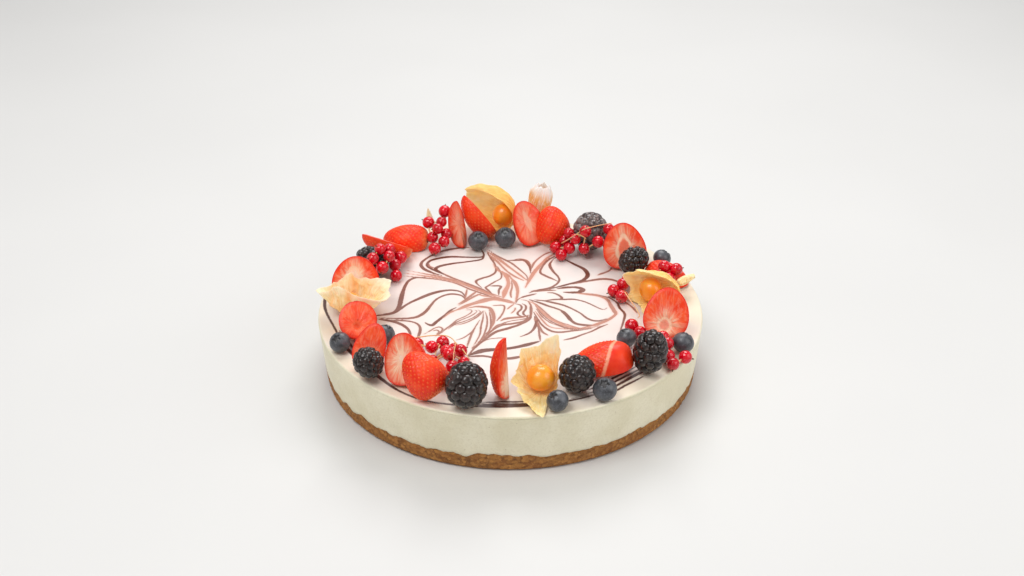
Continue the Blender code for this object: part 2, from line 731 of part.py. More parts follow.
def make_stalk(name, start, end, radii, sides, material, collection):
    """A length of stalk between two points."""
    work = bmesh.new()
    along = end - start
    bmesh.ops.create_cone(
        work,
        cap_ends=True,
        segments=sides,
        radius1=radii[0],
        radius2=radii[1],
        depth=along.length,
        matrix=Matrix.Translation((start + end) / 2)
        @ along.to_track_quat("Z", "Y").to_matrix().to_4x4(),
    )
    return object_from(name, work, material, collection)


def fuse_sprig(name, balls, material, collection):
    """Joins the currants of a sprig into one solid, by the stalk that runs through them."""
    places = [ball.matrix_world.translation.copy() for ball in balls]
    fused = bpy.data.collections.new(name + "_shapes")
    for number, (start, end) in enumerate(zip(places, places[1:])):
        radii = (STALK_RADIUS, STALK_RADIUS)
        make_stalk(f"{name}_stalk_{number}", start, end, radii, STALK_SIDES, material, fused)
    for ball in balls[1:]:
        fused.objects.link(ball)
    sprig = balls[0]
    sprig.name = name
    collection.objects.link(sprig)
    if len(balls) > 1:
        union = sprig.modifiers.new("union", "BOOLEAN")
        union.operation = "UNION"
        union.operand_type = "COLLECTION"
        union.collection = fused
        union.solver = "MANIFOLD"
        bpy.context.view_layer.update()
        evaluated = sprig.evaluated_get(bpy.context.evaluated_depsgraph_get())
        joined = bpy.data.meshes.new_from_object(evaluated)
        sprig.modifiers.clear()
        sprig.data = joined
    for obj in list(fused.objects):
        bpy.data.objects.remove(obj, do_unlink=True)
    bpy.data.collections.remove(fused)
    return sprig


def lay_strawberries(heap, material, collection):
    """Lays the cut strawberries."""
    for name, spot, size, keep_angle, tip, face in STRAWBERRIES:
        strawberry = make_strawberry(name, size, keep_angle, material, collection)
        rotation = turned(tip, face)
        heap.lay(strawberry, spot, rotation, name)
        look = rotation.col[2 if keep_angle == 0 else 1].xyz.normalized()
        heap.flat_directions += [look, -look]


def lay_round_fruit(heap, materials, collection):
    """Lays the brambles, the blueberries and the berries of the physalis, which it returns."""
    for name, spot, size, tip in BRAMBLES:
        bramble = make_bramble(name, size, materials["bramble"], collection)
        heap.lay(bramble, spot, turned(tip, (1, 0, 0)), name)
    for name, spot, diameter, crown in BLUEBERRIES:
        blueberry = make_berry(name, diameter, True, materials["blueberry"], collection)
        heap.lay(blueberry, spot, turned(crown, (1, 0, 0)), name)
    berries = {}
    for name, spot, (diameter, *_), axis, lean, _ in PHYSALIS:
        if diameter:
            berry = make_berry(name + "_berry", diameter, False, materials["physalis"], collection)
            heap.lay(berry, spot, turned(axis, lean), floor_gap=HUSK_FLOOR_GAP)
            berries[name] = berry
    return berries


def lay_currants(heap, material, collection):
    """Lays the currants of every sprig, and returns them by sprig."""
    rng = random.Random(SEED)
    sprigs = {}
    for name, spots in CURRANTS:
        sprigs[name] = []
        for number, spot in enumerate(spots):
            radius = CURRANT_RADIUS * rng.uniform(*CURRANT_SIZE_RANGE)
            ball = make_ball(f"{name}_ball_{number}", radius, material, collection)
            heap.lay(ball, spot, Matrix.Identity(4), name)
            sprigs[name].append(ball)
    return sprigs


def lay_husk_stalk(heap, material, collection):
    """Lays the stalk that stands out of the husk on the right."""
    name, start, end = STALK
    middle = 0.5 * (Vector(start) + Vector(end))
    half = (Vector(end) - middle) * MM
    stalk = make_stalk(name, -half, half, HUSK_STALK_RADII, HUSK_STALK_SIDES, material, collection)
    heap.lay(stalk, middle, Matrix.Identity(4))


def wrap_husks(berries, solids, material, collection):
    """Makes every husk round its berry, and the loose tip of a leaf."""
    shells = []
    for name, spot, (_, lift, width, notch), axis, lean, petals in PHYSALIS:
        middle = Vector(spot) * MM + Vector((0, 0, CAKE_HEIGHT))
        if name in berries:
            middle = berries[name].matrix_world.translation
        foot = middle - Vector(axis).normalized() * lift * MM
        matrix = Matrix.Translation(foot) @ turned(axis, lean)
        matrix = matrix @ Matrix.Rotation(math.pi / 2, 4, "Z") @ Matrix.Diagonal((width, width, 1, 1))
        husk = make_husk(
            name + "_husk", petals, notch, matrix, solids, shells, material, collection
        )
        shells.append(BVHTree.FromPolygons(*world_mesh(husk)))
    make_leaf_tip(*LEAF_TIP, solids, shells, material, collection)


def main():
    clear_scene()
    materials = make_materials()
    cake = make_collection("white_chocolate_cake")
    make_base(materials["biscuit"], cake)
    make_filling(materials["filling"], cake)
    make_glaze(materials["glaze"], cake)

    loose = make_collection("loose_currants")
    heap = Heap()
    lay_strawberries(heap, materials["strawberry"], cake)
    berries = lay_round_fruit(heap, materials, cake)
    sprigs = lay_currants(heap, materials["redcurrant"], loose)
    lay_husk_stalk(heap, materials["husk"], cake)
    heap.measure()
    heap.spread()
    heap.settle()
    heap.move_objects()

    fruit = [obj for obj in heap.objects if obj.name not in loose.objects]
    for name, balls in sprigs.items():
        for ball in balls:
            loose.objects.unlink(ball)
        fruit.append(fuse_sprig(name, balls, materials["redcurrant"], cake))
    bpy.data.collections.remove(loose)
    solids = [BVHTree.FromPolygons(*world_mesh(piece)) for piece in fruit]
    wrap_husks(berries, solids, materials["husk"], cake)


main()
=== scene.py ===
"""The looks of a round white chocolate cake with a ring of fruit, for Blender 4.5.

Metres, +Z up. Sizes in the tables are in millimetres.
"""

import math
import random

import bmesh
import bpy
import numpy as np
from mathutils import Matrix, Vector, noise


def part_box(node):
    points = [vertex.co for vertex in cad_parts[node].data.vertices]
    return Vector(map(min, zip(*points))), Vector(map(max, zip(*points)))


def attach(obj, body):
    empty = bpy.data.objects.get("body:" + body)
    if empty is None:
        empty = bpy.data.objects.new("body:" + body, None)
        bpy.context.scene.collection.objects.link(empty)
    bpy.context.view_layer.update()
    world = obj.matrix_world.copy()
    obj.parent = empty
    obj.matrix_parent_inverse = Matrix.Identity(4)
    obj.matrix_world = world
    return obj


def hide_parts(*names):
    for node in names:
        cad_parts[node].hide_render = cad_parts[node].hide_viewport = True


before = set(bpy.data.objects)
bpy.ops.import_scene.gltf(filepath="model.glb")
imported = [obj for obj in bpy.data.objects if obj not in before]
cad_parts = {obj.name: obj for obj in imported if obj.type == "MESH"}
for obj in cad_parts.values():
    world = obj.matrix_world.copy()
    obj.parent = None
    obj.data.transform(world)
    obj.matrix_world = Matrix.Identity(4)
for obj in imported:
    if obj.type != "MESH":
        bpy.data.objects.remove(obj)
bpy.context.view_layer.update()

MM = 0.001

# The layers, as in the solids
RIM_RADIUS = 120.0
FOOT_RADIUS = 117.0
CAKE_HEIGHT = 39.5
GLAZE_THICKNESS = 1.6
GLAZE_GAP = 0.3
BASE_THICKNESS = 10.0
BASE_WAVE = 1.5
HUMP_RISE = 2.6
HUMP_TURN = 267  # degrees
HUMP_REACH = 6  # degrees
FOOT_BEVEL = 1.6

# Finer than in the solids
LUMP_RISE = 2.0
CRUMB_RISE = 0.6
EDGE_GAP = 0.15
BISCUIT_ROWS = 16
FILLING_ROWS = 20
LAYER_COLUMNS = 480

# Strawberry pieces: node, length, width, kept angle (0 for a slice across), tip and cut face.
# Then the looks of the cut: the middle of its pith across and along, the pith's reach and how
# much longer than wide it is, how pale its inside, its rim and the rays round it are, and how
# hollow it is.
STRAWBERRIES = (
    ("front_cut", 30, 27, 180, (-0.12, 0.45, 0.88), (-0.3, -0.75, 0.6),
     (0.12, 0.0, 0.2, 1.7, 1.0, 1.0, 0.95), 0.0),
    ("front_skin", 28, 25, 180, (-0.6, 0.3, 0.62), (-0.1, 0.85, -0.3),
     (0, 0, 0.2, 1.6, 0.6, 0.7, 0.6), 0.0),
    ("left_low", 27, 20, 180, (0.3, 0.5, 0.8), (-0.1, -0.8, 0.55),
     (-0.15, -0.45, 0.2, 1.2, 0.35, 0.5, 0.42), 0.0),
    ("left_mid", 30, 24, 0, (0.1, -0.72, 0.68), (0, 1, 0),
     (0.0, -0.35, 0.22, 1.0, 0.0, 0.1, 0.04), 0.8),
    ("left_high", 28, 31, 180, (0.0, 0.4, 0.92), (0.05, -0.9, 0.4),
     (0.1, -0.1, 0.4, 1.3, 1.0, 1.0, 1.0), 0.0),
    ("back_wedge", 35, 22, 180, (-0.95, 0.15, 0.25), (0.1, 0.5, 0.85),
     (0, 0, 0.25, 1.6, 0.7, 0.7, 0.7), 0.0),
    ("back_left", 31, 23, 180, (-0.98, 0.1, 0.0), (0.0, 0.3, -0.95),
     (0, 0, 0.25, 1.6, 0.6, 0.6, 0.5), 0.0),
    ("back_quarter", 32, 22, 70, (-0.15, 0.35, 0.92), (0.85, -0.1, 0.5),
     (0, 0, 0.2, 2.2, 0.3, 0.4, 0.6), 0.0),
    ("back_leaning", 34, 23, 180, (-0.62, 0.2, 0.76), (0.6, 0.5, 0.6),
     (0, 0, 0.25, 1.6, 0.5, 0.6, 0.5), 0.0),
    ("far_cut", 31, 24, 180, (-0.4, 0.25, 0.87), (0.35, -0.75, 0.55),
     (0.05, 0.1, 0.12, 3.4, 0.7, 0.7, 0.45), 0.0),
    ("far_skin", 26, 25, 180, (-0.15, 0.4, 0.9), (-0.3, 0.85, -0.25),
     (0, 0, 0.25, 1.6, 0.5, 0.6, 0.5), 0.0),
    ("right_high", 30, 29, 180, (-0.1, 0.4, 0.9), (-0.1, -0.85, 0.5),
     (0.0, -0.15, 0.34, 1.7, 0.1, 1.0, 0.75), 0.1),
    ("right_flat", 30, 22, 180, (0.85, -0.5, 0.0), (0.1, 0.1, -0.98),
     (0, 0, 0.25, 1.6, 0.5, 0.6, 0.5), 0.0),
    ("right_cut", 30, 28, 180, (0.1, 0.55, 0.82), (-0.1, -0.82, 0.55),
     (0.05, -0.5, 0.27, 1.0, 0.3, 1.0, 0.95), 0.35),
    ("front_right", 38, 27, 180, (-0.96, -0.1, -0.16), (-0.16, -0.05, -1.0),
     (0, 0, 0.25, 1.6, 0.5, 0.6, 0.5), 0.0),
    ("front_wedge", 35, 21, 90, (-0.05, 0.25, 0.96), (0.55, 0.83, 0.1),
     (0.1, -0.5, 0.3, 2.2, 1.0, 1.0, 1.0), 0.0),
)
ROUND_THICKNESS = 12.0
PARED_STRAWBERRY = "front_right"

TIP_TAPER = 0.35
TAPER_POWER = 3
UNEVENNESS = 0.035
PARING_START = 0.06
PARING_LEAN = -0.33
PITH_TAPER = 1.1
SKIN_ROWS = 76
CUT_ROWS = 64

# The skin for each seed in square millimetres, then the seed's half width, half length and
# half thickness, how deep its middle lies, and its dimple
SEED_AREA = 6.0
SEED_SIZE = (0.36, 0.56, 0.28)
SEED_DEPTH = 0.26
DIMPLE_DEPTH = 0.45
DIMPLE_REACH = 0.8

# Bramble berries: node, length, width, tip
BRAMBLES = (
    ("front", 28, 25, (0.1, 0.1, 0.9)),
    ("left", 23, 18, (-0.2, -0.5, 0.7)),
    ("left_back", 25, 20, (-0.7, 0.6, 0.1)),
    ("far", 27, 25, (0.1, 0.2, 0.9)),
    ("right_back", 22, 18, (0.8, 0.5, 0.2)),
    ("right", 30, 21, (0.1, -0.15, 0.95)),
    ("front_right", 24, 22, (0.3, -0.4, 0.8)),
)
FROSTED_BRAMBLE = "far"
DRUPELET_ROWS = (1, 5, 9, 10, 10, 9, 5, 1)
DRUPELET_SIZE = 0.145  # radius as a share of the berry's width
HAIR_CHANCE = 0.3

# Blueberries: node, diameter, crown
BLUEBERRIES = (
    ("left_outer", 12.5, (-0.3, -0.5, 0.8)),
    ("left_inner", 12.5, (0.5, 0.2, 0.8)),
    ("back_left", 13.6, (0.1, -0.4, 0.9)),
    ("back_right", 14.2, (0.0, -0.3, 0.9)),
    ("right_back", 12.0, (0.6, 0.3, 0.7)),
    ("right_inner", 12.0, (-0.4, 0.2, 0.9)),
    ("right_outer", 13.0, (0.4, 0.3, 0.8)),
    ("front_outer", 13.8, (-0.1, -0.35, 0.9)),
    ("front_inner", 12.5, (-0.5, -0.2, 0.8)),
)
BERRY_FLATNESS = 0.93
CROWN_TILT = 21  # degrees from the tip to the edge of the star

# Physalis: node, berry diameter, middle over the stalk, axis, lean of the first petal, place
# of the bulb where there is no berry, husk colours on two sides and at the tips, and how
# strongly the berry shines through.
PHYSALIS = (
    ("front", 16.0, 9.6, (0.0, 0.1, 1.0), (0.53, 0.85, 0.0), None,
     (236, 168, 92), (240, 204, 134), (242, 222, 172), 0.6),
    ("left", 13.0, 8.2, (0.0, 0.2, 0.95), (-1.0, 0.1, 0.0), None,
     (242, 206, 150), (240, 196, 132), (248, 230, 192), 1.2),
    ("back", 16.0, 9.6, (-0.92, 0.28, 0.24), (0.25, 0.45, 0.85), None,
     (240, 178, 92), (232, 162, 76), (242, 196, 120), 0.5),
    ("far", 0.0, 9.6, (0.24, 0.05, 1.0), (0.0, 1.0, 0.0), (17.5, 103, 49.5),
     (228, 160, 86), (228, 160, 86), (255, 251, 244), 0.0),
    ("right", 15.5, 17.0, (-0.88, -0.38, 0.0), (0.0, 0.0, 1.0), None,
     (246, 196, 108), (242, 176, 74), (248, 214, 144), 0.6),
)
# Heights of the pleats, fine crinkles and folds of a husk
CRUMPLED = (1.3, 0.8, 2.4)
SMOOTHER = (0.6, 0.4, 0.8)
CRUMPLED_HUSKS = ("front", "left")
FAR_HUSK_BLUNT = 20.0
# Orange streaks on the left husk: strength, X and width
ORANGE_STREAKS = ((1.0, -98.0, 2.2), (0.7, -109.5, 2.0))
# Small pieces of husk: node, material and its colours
HUSK_ENDS = (
    ("husk_leaf_tip", "husk_leaf", (226, 200, 150), (216, 190, 140), (244, 234, 206)),
    ("physalis_right_stalk", "husk_stalk", (240, 214, 160), (236, 208, 150), (244, 232, 200)),
)
STALK_LEAN = (11.0, 5.0, 3.0)  # direction of that stalk

# Redcurrants: node, then the middle and radius of each currant along the stalk
CURRANTS = (
    ("redcurrants_front", (
        (-55.0, -52.2, 43.7, 3.9), (-46.0, -61.2, 47.5, 3.8), (-40.0, -53.2, 45.5, 4.1),
        (-33.0, -57.2, 43.6, 3.7), (-29.0, -65.2, 47.5, 4.0), (-37.0, -67.2, 48.5, 3.9),
        (-45.0, -70.2, 43.6, 3.7), (-35.0, -75.2, 51.5, 4.0), (-27.0, -73.2, 44.5, 3.7),
        (-33.0, -82.2, 47.5, 4.0), (-37.0, -88.2, 43.6, 3.7),
    )),
    ("redcurrants_left_back", (
        (-83.9, 33.2, 61.4, 3.7), (-88.1, 26.2, 58.3, 4.0), (-82.2, 24.6, 52.7, 4.2),
        (-78.2, 31.6, 57.0, 3.8), (-78.4, 39.7, 57.8, 3.8), (-79.0, 45.9, 53.1, 4.1),
        (-72.1, 44.4, 49.2, 4.3), (-75.2, 37.2, 47.5, 4.0),
    )),
    ("redcurrant_single", ((-74.0, 29.8, 43.8, 3.9),)),
    ("redcurrants_back", (
        (-45.0, 90.8, 59.5, 4.3), (-47.0, 84.8, 54.5, 3.7), (-56.0, 85.8, 53.5, 4.2),
        (-52.8, 75.8, 47.4, 3.9), (-49.3, 75.7, 54.0, 3.8), (-43.6, 78.3, 48.8, 3.8),
        (-45.0, 71.5, 46.4, 3.9), (-51.0, 65.8, 44.1, 4.2),
    )),
    ("redcurrants_far", (
        (65.2, 64.3, 59.8, 3.8), (65.4, 63.4, 48.8, 4.1), (58.1, 58.2, 53.4, 4.1),
        (49.0, 59.8, 47.5, 3.9), (49.5, 60.1, 60.3, 4.0), (43.0, 61.8, 53.5, 3.7),
        (39.0, 68.4, 54.5, 3.7), (36.4, 70.3, 47.7, 3.8), (30.3, 67.4, 44.2, 4.1),
        (39.2, 61.9, 46.6, 4.0), (33.7, 57.7, 43.7, 3.9),
    )),
    ("redcurrants_right_back", (
        (105.9, 22.0, 52.9, 4.1), (98.4, 23.9, 53.9, 4.0), (93.5, 17.2, 50.8, 3.9),
        (100.9, 17.5, 48.5, 4.2), (95.2, 13.5, 44.0, 4.1),
    )),
    ("redcurrants_right_inner", (
        (75.1, 22.0, 45.5, 3.8), (71.5, 15.0, 45.8, 4.0), (65.4, 10.5, 43.9, 4.0),
        (70.0, 2.8, 44.1, 4.2),
    )),
    ("redcurrants_right", (
        (84.6, -46.8, 45.7, 4.1), (77.9, -39.1, 43.7, 3.9), (73.4, -32.2, 44.2, 4.3),
    )),
    ("redcurrants_right_outer", (
        (90.3, -51.3, 48.1, 3.8), (92.0, -58.9, 48.6, 3.9), (92.0, -65.4, 44.0, 4.2),
        (94.0, -73.2, 43.6, 3.8), (102.0, -66.2, 43.8, 4.0),
    )),
)

# Fine stalks that show over the currants
FINE_STALKS = (
    ("redcurrants_far", ((34.2, 65.7, 48.2), (38.8, 60.4, 54.3), (43.8, 60.7, 57.8),
                         (48.5, 57.3, 63.3), (54.6, 60.4, 63.5), (62.5, 63.3, 63.9),
                         (67.2, 64.0, 64.4))),
    ("redcurrants_far", ((43.8, 60.7, 57.8), (47.2, 57.0, 58.4), (49.8, 56.0, 56.7))),
    ("redcurrants_front", ((-57.6, -51.4, 47.5), (-53.5, -51.0, 48.0), (-45.7, -51.4, 49.3),
                           (-37.4, -52.4, 49.6), (-32.6, -56.6, 48.0), (-32.2, -77.5, 54.6),
                           (-32.4, -83.8, 52.0))),
    ("redcurrants_front", ((-32.6, -56.6, 48.0), (-27.4, -68.7, 50.3), (-23.3, -74.0, 46.9))),
    ("redcurrants_front", ((-41.4, -57.8, 46.7), (-43.3, -64.8, 46.4), (-44.6, -73.5, 46.6))),
    ("redcurrants_right_inner", ((71.5, 0.5, 48.5), (74.3, -6.5, 47.0), (77.5, -14.0, 45.5),
                                 (79.0, -21.2, 45.0), (77.5, -27.0, 46.5))),
)
STALK_RADIUS = 0.5
FINE_STALK_RADII = (0.42, 0.25)
# The dried flower at the tip of a currant: its hairs, and how far each one goes out and aside
TUFT_HAIRS = 5
TUFT_PATH = ((-0.2, 0.0), (0.6, 0.25), (1.2, 0.1))
TUFT_RADII = (0.3, 0.22, 0.08)

# Chocolate lines drawn through the glaze, seen from above: how pink each one is, its half
# width and the places it runs through.
CHOCOLATE_LINES = (
    # upper left
    (0.1, 0.95, (-28, 76), (-38, 74.5), (-46, 71), (-53, 65), (-58, 58), (-59.5, 52), (-57, 46),
     (-51, 41), (-45, 37.5)),
    (0.0, 0.95, (-20, 73), (-18, 66), (-20, 62.5), (-30, 62.3), (-40, 63), (-48, 61), (-54, 57),
     (-55.5, 51), (-52, 46), (-46, 41), (-41, 37)),
    (0.0, 0.95, (-18, 66), (-19.5, 59.5), (-29, 56), (-39, 53.5), (-47, 50), (-49.5, 46),
     (-46, 41.5), (-40, 36.5)),
    (0.35, 0.75, (-46, 42), (-40, 36), (-31, 29.5), (-22, 22.5), (-13, 15)),
    (0.75, 0.7, (-38, 33), (-29, 26), (-20, 19), (-11, 12.5)),
    (0.4, 0.7, (-50, 47), (-54, 50.5), (-54.5, 54)),
    # left
    (0.1, 1.2, (-56, 35), (-62, 34.5), (-66, 31), (-68, 24), (-69, 15), (-69.5, 6), (-70, -2),
     (-73, -9), (-83, -12)),
    (0.1, 1.1, (-83, -13), (-74, -10.5), (-69, -5), (-65, 1), (-59, 7), (-52, 13), (-45, 17),
     (-38, 18.5), (-32, 16.5), (-28.5, 10)),
    (0.2, 0.9, (-82, -15.5), (-70, -16.2), (-62, -15.8), (-57, -13.5), (-53, -8), (-50, 0),
     (-47, 7), (-42, 12), (-37, 13.6), (-31.5, 11.8), (-28.5, 7)),
    (0.5, 0.5, (-28, 20), (-28.3, 15), (-29, 8)),
    (0.5, 0.6, (-21, 18), (-25, 12), (-29.5, 5), (-33, 1)),
    (0.6, 0.5, (-19, 14), (-24, 9), (-31, 1)),
    (0.1, 0.9, (-83, -16.5), (-73, -19.5), (-66, -24), (-61.5, -31), (-60, -40)),
    (0.2, 0.8, (-73, -18), (-62, -19.5), (-56.5, -23.5), (-55, -30), (-56, -40)),
    # upper right
    (0.0, 1.1, (34, 62), (42, 53), (48.5, 46), (50.5, 38), (47, 31.5), (40, 27.5), (33, 24),
     (25, 20)),
    (0.4, 0.8, (67, 49), (65, 44), (57, 38)),
    (0.25, 0.9, (73, 26), (67, 31.5), (60, 33), (52, 31), (44, 28), (37, 25.5)),
    (0.1, 1.2, (30, 20.5), (36, 22), (43, 22), (47, 19.5), (45.5, 16.5), (40, 15.5), (34, 16)),
    (0.1, 1.5, (39, 22.6), (44, 21.6), (46.5, 18.8), (43, 16.2)),
    (0.3, 0.9, (13, 17), (22, 18.3), (29, 18.5)),
    # right
    (0.7, 0.9, (36, 16.5), (46, 14), (55, 12), (60.5, 8), (63, 1), (65, -6), (65.5, -11), (60, -18),
     (52, -23.5), (42, -28)),
    (0.6, 1.3, (62, 2), (64, -5), (65.5, -11)),
    (0.1, 0.6, (52, 14), (62, 9.5), (67, 3), (68.5, -4), (71, -11), (69.5, -20), (67.5, -28),
     (66, -36)),
    (0.4, 0.65, (62, 11), (70, 6), (76, -2), (79, -10)),
    # front
    (0.2, 0.9, (13, -10), (12, -17), (6, -23), (-2, -28), (-9, -32), (-15, -40), (-21, -49),
     (-25, -58)),
    (0.0, 1.6, (17, -42.5), (9, -46.5), (0, -50), (-9, -51.5), (-17, -53), (-25, -58)),
    (0.1, 1.1, (9, -58), (0, -61), (-9, -60.5), (-16, -58.5), (-25, -59)),
    (0.3, 0.8, (11, -12), (9, -19), (2, -22), (-5, -24), (-11, -30), (-16, -39)),
    # above the middle
    (0.3, 0.56, (-15.5, 73.5), (-10, 65.5), (-3.5, 58.5), (1, 53.5), (6, 45.5), (10.5, 37),
     (11, 31)),
    (0.75, 0.8, (-16, 70.5), (-10, 63), (-3, 52), (3, 43), (8.5, 34.5), (11, 31)),
    (0.65, 0.7, (-15.5, 67), (-9, 56.5), (-3, 44.5), (3, 36), (8.5, 31)),
    (0.75, 0.75, (-11.5, 53), (-8, 44.5), (-3, 39.5), (1, 33.5)),
    (0.15, 0.69, (-2.5, 58), (3, 58), (8.5, 58), (11.5, 53.5), (13, 47), (13, 40.5)),
    (0.35, 0.44, (2.5, 59), (6.5, 60), (11, 57.5), (13.5, 50.5)),
    (0.4, 0.62, (29.5, 71.5), (23.5, 67), (19, 61), (15.5, 54), (14, 47)),
    (0.8, 1, (30.5, 68), (25, 62), (20.5, 53), (16, 43), (12.5, 32.5), (9.5, 21.5)),
    (0.2, 0.75, (30.5, 64.5), (25.5, 59), (21.5, 50.5), (19.5, 42), (22.5, 37.5), (28, 32.5),
     (30.5, 30)),
    (0.15, 0.75, (29, 60.5), (26, 52), (28, 43), (31, 36), (31.5, 30),
     (28, 24), (23.5, 20.5), (17.5, 18.5), (12, 15)),
    (0.2, 0.69, (-16, 69.5), (-13, 60.5), (-10, 50.5), (-10, 42), (-13.5, 37),
     (-18.5, 34), (-22, 31), (-22, 27.5), (-18.5, 21.5)),
    (0.25, 0.56, (-8.5, 49.5), (-6, 39.5), (-6.5, 33.5), (-10.5, 29), (-14.5, 24),
     (-16, 21.5), (-13.5, 17), (-11, 12.5)),
    (0.2, 0.62, (-13.5, 24), (-6.5, 23.5), (-7.5, 18.5), (-7.5, 12.5)),
    (0.85, 1.4, (-5.5, 43), (-2, 33.5), (-1.5, 25), (-3.5, 17), (-4.5, 9)),
    (0.75, 0.9, (0, 34.5), (3, 27.5), (4.5, 18.5), (4, 9), (3, 3.5)),
    (0.5, 0.44, (0.5, 31), (1, 23), (0, 15), (0.5, 9)),
    # the curls in the middle
    (0.2, 0.5, (3, 1.5), (6, 0), (7, -2.5), (6.5, -5.5), (4.5, -9), (5, -12), (8, -14)),
    (0.2, 0.5, (7.5, 1.5), (9.5, -1), (9.5, -5), (8, -9), (8.5, -12), (10.5, -12.5)),
    (0.6, 0.5, (2, 1), (-0.5, -2.5), (-2, -5)),
    (0.6, 0.35, (3, -3.5), (2.5, -6.5), (0.5, -10)),
    (0.45, 0.8, (11, -13), (6.5, -14.5), (3, -15), (-3, -16.5), (-6, -19)),
    (0.3, 0.45, (3.5, 2.5), (4.5, 6.5), (8, 10), (11.5, 11)),
    (0.35, 0.45, (7, 6.5), (11, 4.5), (13, -2), (13, -9), (12, -14.5),
     (7.5, -17), (0.5, -19), (-5.5, -22.5), (-10, -27.5)),
    (0.7, 0.9, (3, 1.5), (-3, 4.5), (-7.5, 7.5), (-14.5, 7), (-20.5, 4)),
    (0.7, 0.7, (2.5, 3), (-3, 6.5), (-10, 9.5), (-17.5, 11.5), (-21, 13.5)),
    # lower left
    (0.45, 0.45, (-32.5, -0.5), (-27.5, 5.5), (-22, 12), (-16.5, 14.5)),
    (0.6, 0.4, (-34, -6), (-28.5, -0.5), (-22, 4), (-16, 8), (-9, 8.5), (-3, 5.5)),
    (0.75, 0.9, (-35, -7), (-29.5, -3), (-24, 1), (-17, 4), (-10.5, 6.5), (-3, 4)),
    (0.05, 0.9, (-34, -3), (-37.5, -6.5), (-41.5, -13.5), (-45.5, -20),
     (-48, -24), (-50.5, -23), (-52.5, -21)),
    (0.7, 0.6, (-34, -6), (-38.5, -10), (-42.5, -16.5)),
    (0.3, 0.4, (-27.5, -6), (-24.5, -6), (-24.5, -9), (-28, -13.5), (-33, -18), (-36, -23),
     (-39.5, -27.5)),
    (0.3, 0.4, (-22.5, -6), (-21, -8), (-25, -13.5), (-30.5, -18),
     (-34.5, -22), (-39, -27.5), (-42, -33.5)),
    (0.3, 0.4, (-20, -6), (-19, -9), (-23.5, -15.5), (-29, -20), (-34, -23), (-38, -28.5)),
    (0.4, 0.4, (-17, -7), (-19, -11.5), (-22.5, -16.5), (-28, -21.5), (-33.5, -24)),
    (0.55, 0.9, (-27.5, -4), (-21.5, -2), (-16, -2.5), (-12.5, -4.5),
     (-10.5, -12.5), (-10.5, -21), (-12, -28.5)),
    (0.35, 0.4, (-17, -8), (-17, -15.5), (-18, -25), (-18.5, -34.5), (-21, -44), (-23, -50)),
    (0.35, 0.4, (-16, -7), (-14.5, -15.5), (-14.5, -25), (-16.5, -36.5), (-19.5, -44)),
    (0.35, 0.4, (-13.5, -6), (-12.5, -13.5), (-12, -23), (-13, -30.5), (-16.5, -36.5)),
    (0.3, 0.4, (-19, -18), (-21.5, -26), (-24, -32.5), (-28.5, -38.5), (-32.5, -41)),
    (0.35, 0.5, (-21, -25), (-23, -31.5), (-24.5, -39.5), (-26, -49)),
    (0.4, 0.6, (-11, -0.5), (-4.5, -0.5), (-4, -6), (-6, -13.5), (-8.5, -19)),
    (0.4, 0.4, (-2.5, -22), (-8, -24), (-11.5, -30.5), (-15.5, -36.5), (-19.5, -45), (-22.5, -50)),
    (0.4, 0.4, (-2.5, -27.5), (-9, -31.5), (-14, -37.5), (-18.5, -42.5)),
    (0.3, 0.45, (-2.5, -38.5), (-8.5, -39), (-14, -40.5), (-18.5, -45)),
    (0.35, 0.4, (-52.5, -34.5), (-49, -30.5), (-46.5, -27.5), (-43.5, -26),
     (-41.5, -28.5), (-43, -33.5), (-45.5, -37.5)),
    (0.4, 0.35, (-47, -30.5), (-45, -29.5), (-43.5, -31.5), (-45, -35.5)),
    # the fan on the right
    (0.15, 0.6, (16.5, 5.5), (22, 5.5), (28, 7), (33.5, 7), (40, 7), (46, 4.5),
     (51, 0.5), (55.5, -4), (58.5, -5.5), (60.5, -3.5)),
    (0.15, 0.72, (15, 6.5), (22, 5), (28, 2.5), (33, 0), (38.5, -4.5), (43.5, -10),
     (47, -15.5), (50.5, -18.5), (54.5, -19), (59.5, -16.5)),
    (0.15, 0.84, (12, 6.5), (18, 3), (23.5, -1), (28.5, -4), (32, -7), (35, -12.5),
     (37, -17.5), (39.5, -21.5), (43.5, -23.5), (50, -24), (55, -23)),
    (0.1, 0.95, (31, -5.5), (33, -8.5), (35, -12.5), (37, -17.5), (38.5, -20.5)),
    (0.5, 0.42, (13, 5.5), (17, -0.5), (21, -7.5), (25.5, -15.5), (30.5, -20.5),
     (35.5, -23.5), (41.5, -27), (48.5, -27.5), (55, -24)),
    (0.3, 0.42, (15.5, -0.5), (19, -9.5), (23.5, -17.5), (28, -22.5), (33.5, -26.5),
     (37.5, -28), (44.5, -28), (49.5, -26.5)),
    (0.85, 0.8, (11.5, 4.5), (15, 1.5), (17.5, -4), (21.5, -11.5), (25.5, -17),
     (30, -21.5), (34.5, -25), (41.5, -27.5), (48.5, -26)),
    (0.4, 0.36, (16, -4.5), (19.5, -13.5), (24, -20.5), (28.5, -24),
     (34.5, -28), (41.5, -29.5), (46.5, -29)),
    (0.7, 0.36, (15.5, -7.5), (19, -16.5), (22.5, -24), (26, -27), (31, -28), (37.5, -29)),
    (0.25, 0.66, (14.5, -8.5), (16.5, -15.5), (19, -23), (22, -28), (26, -31.5),
     (31, -32), (37.5, -30.5), (43.5, -29.5), (49.5, -28)),
    (0.2, 0.72, (32, -41), (38, -38.5), (44, -34.5), (49.5, -31), (54.5, -26.5), (59.5, -23)),
    (0.25, 0.6, (15, -13.5), (15.5, -19.5), (17, -26), (17.5, -34), (18, -42)),
    (0.35, 0.54, (16, -21.5), (18, -27), (19.5, -32), (23, -36)),
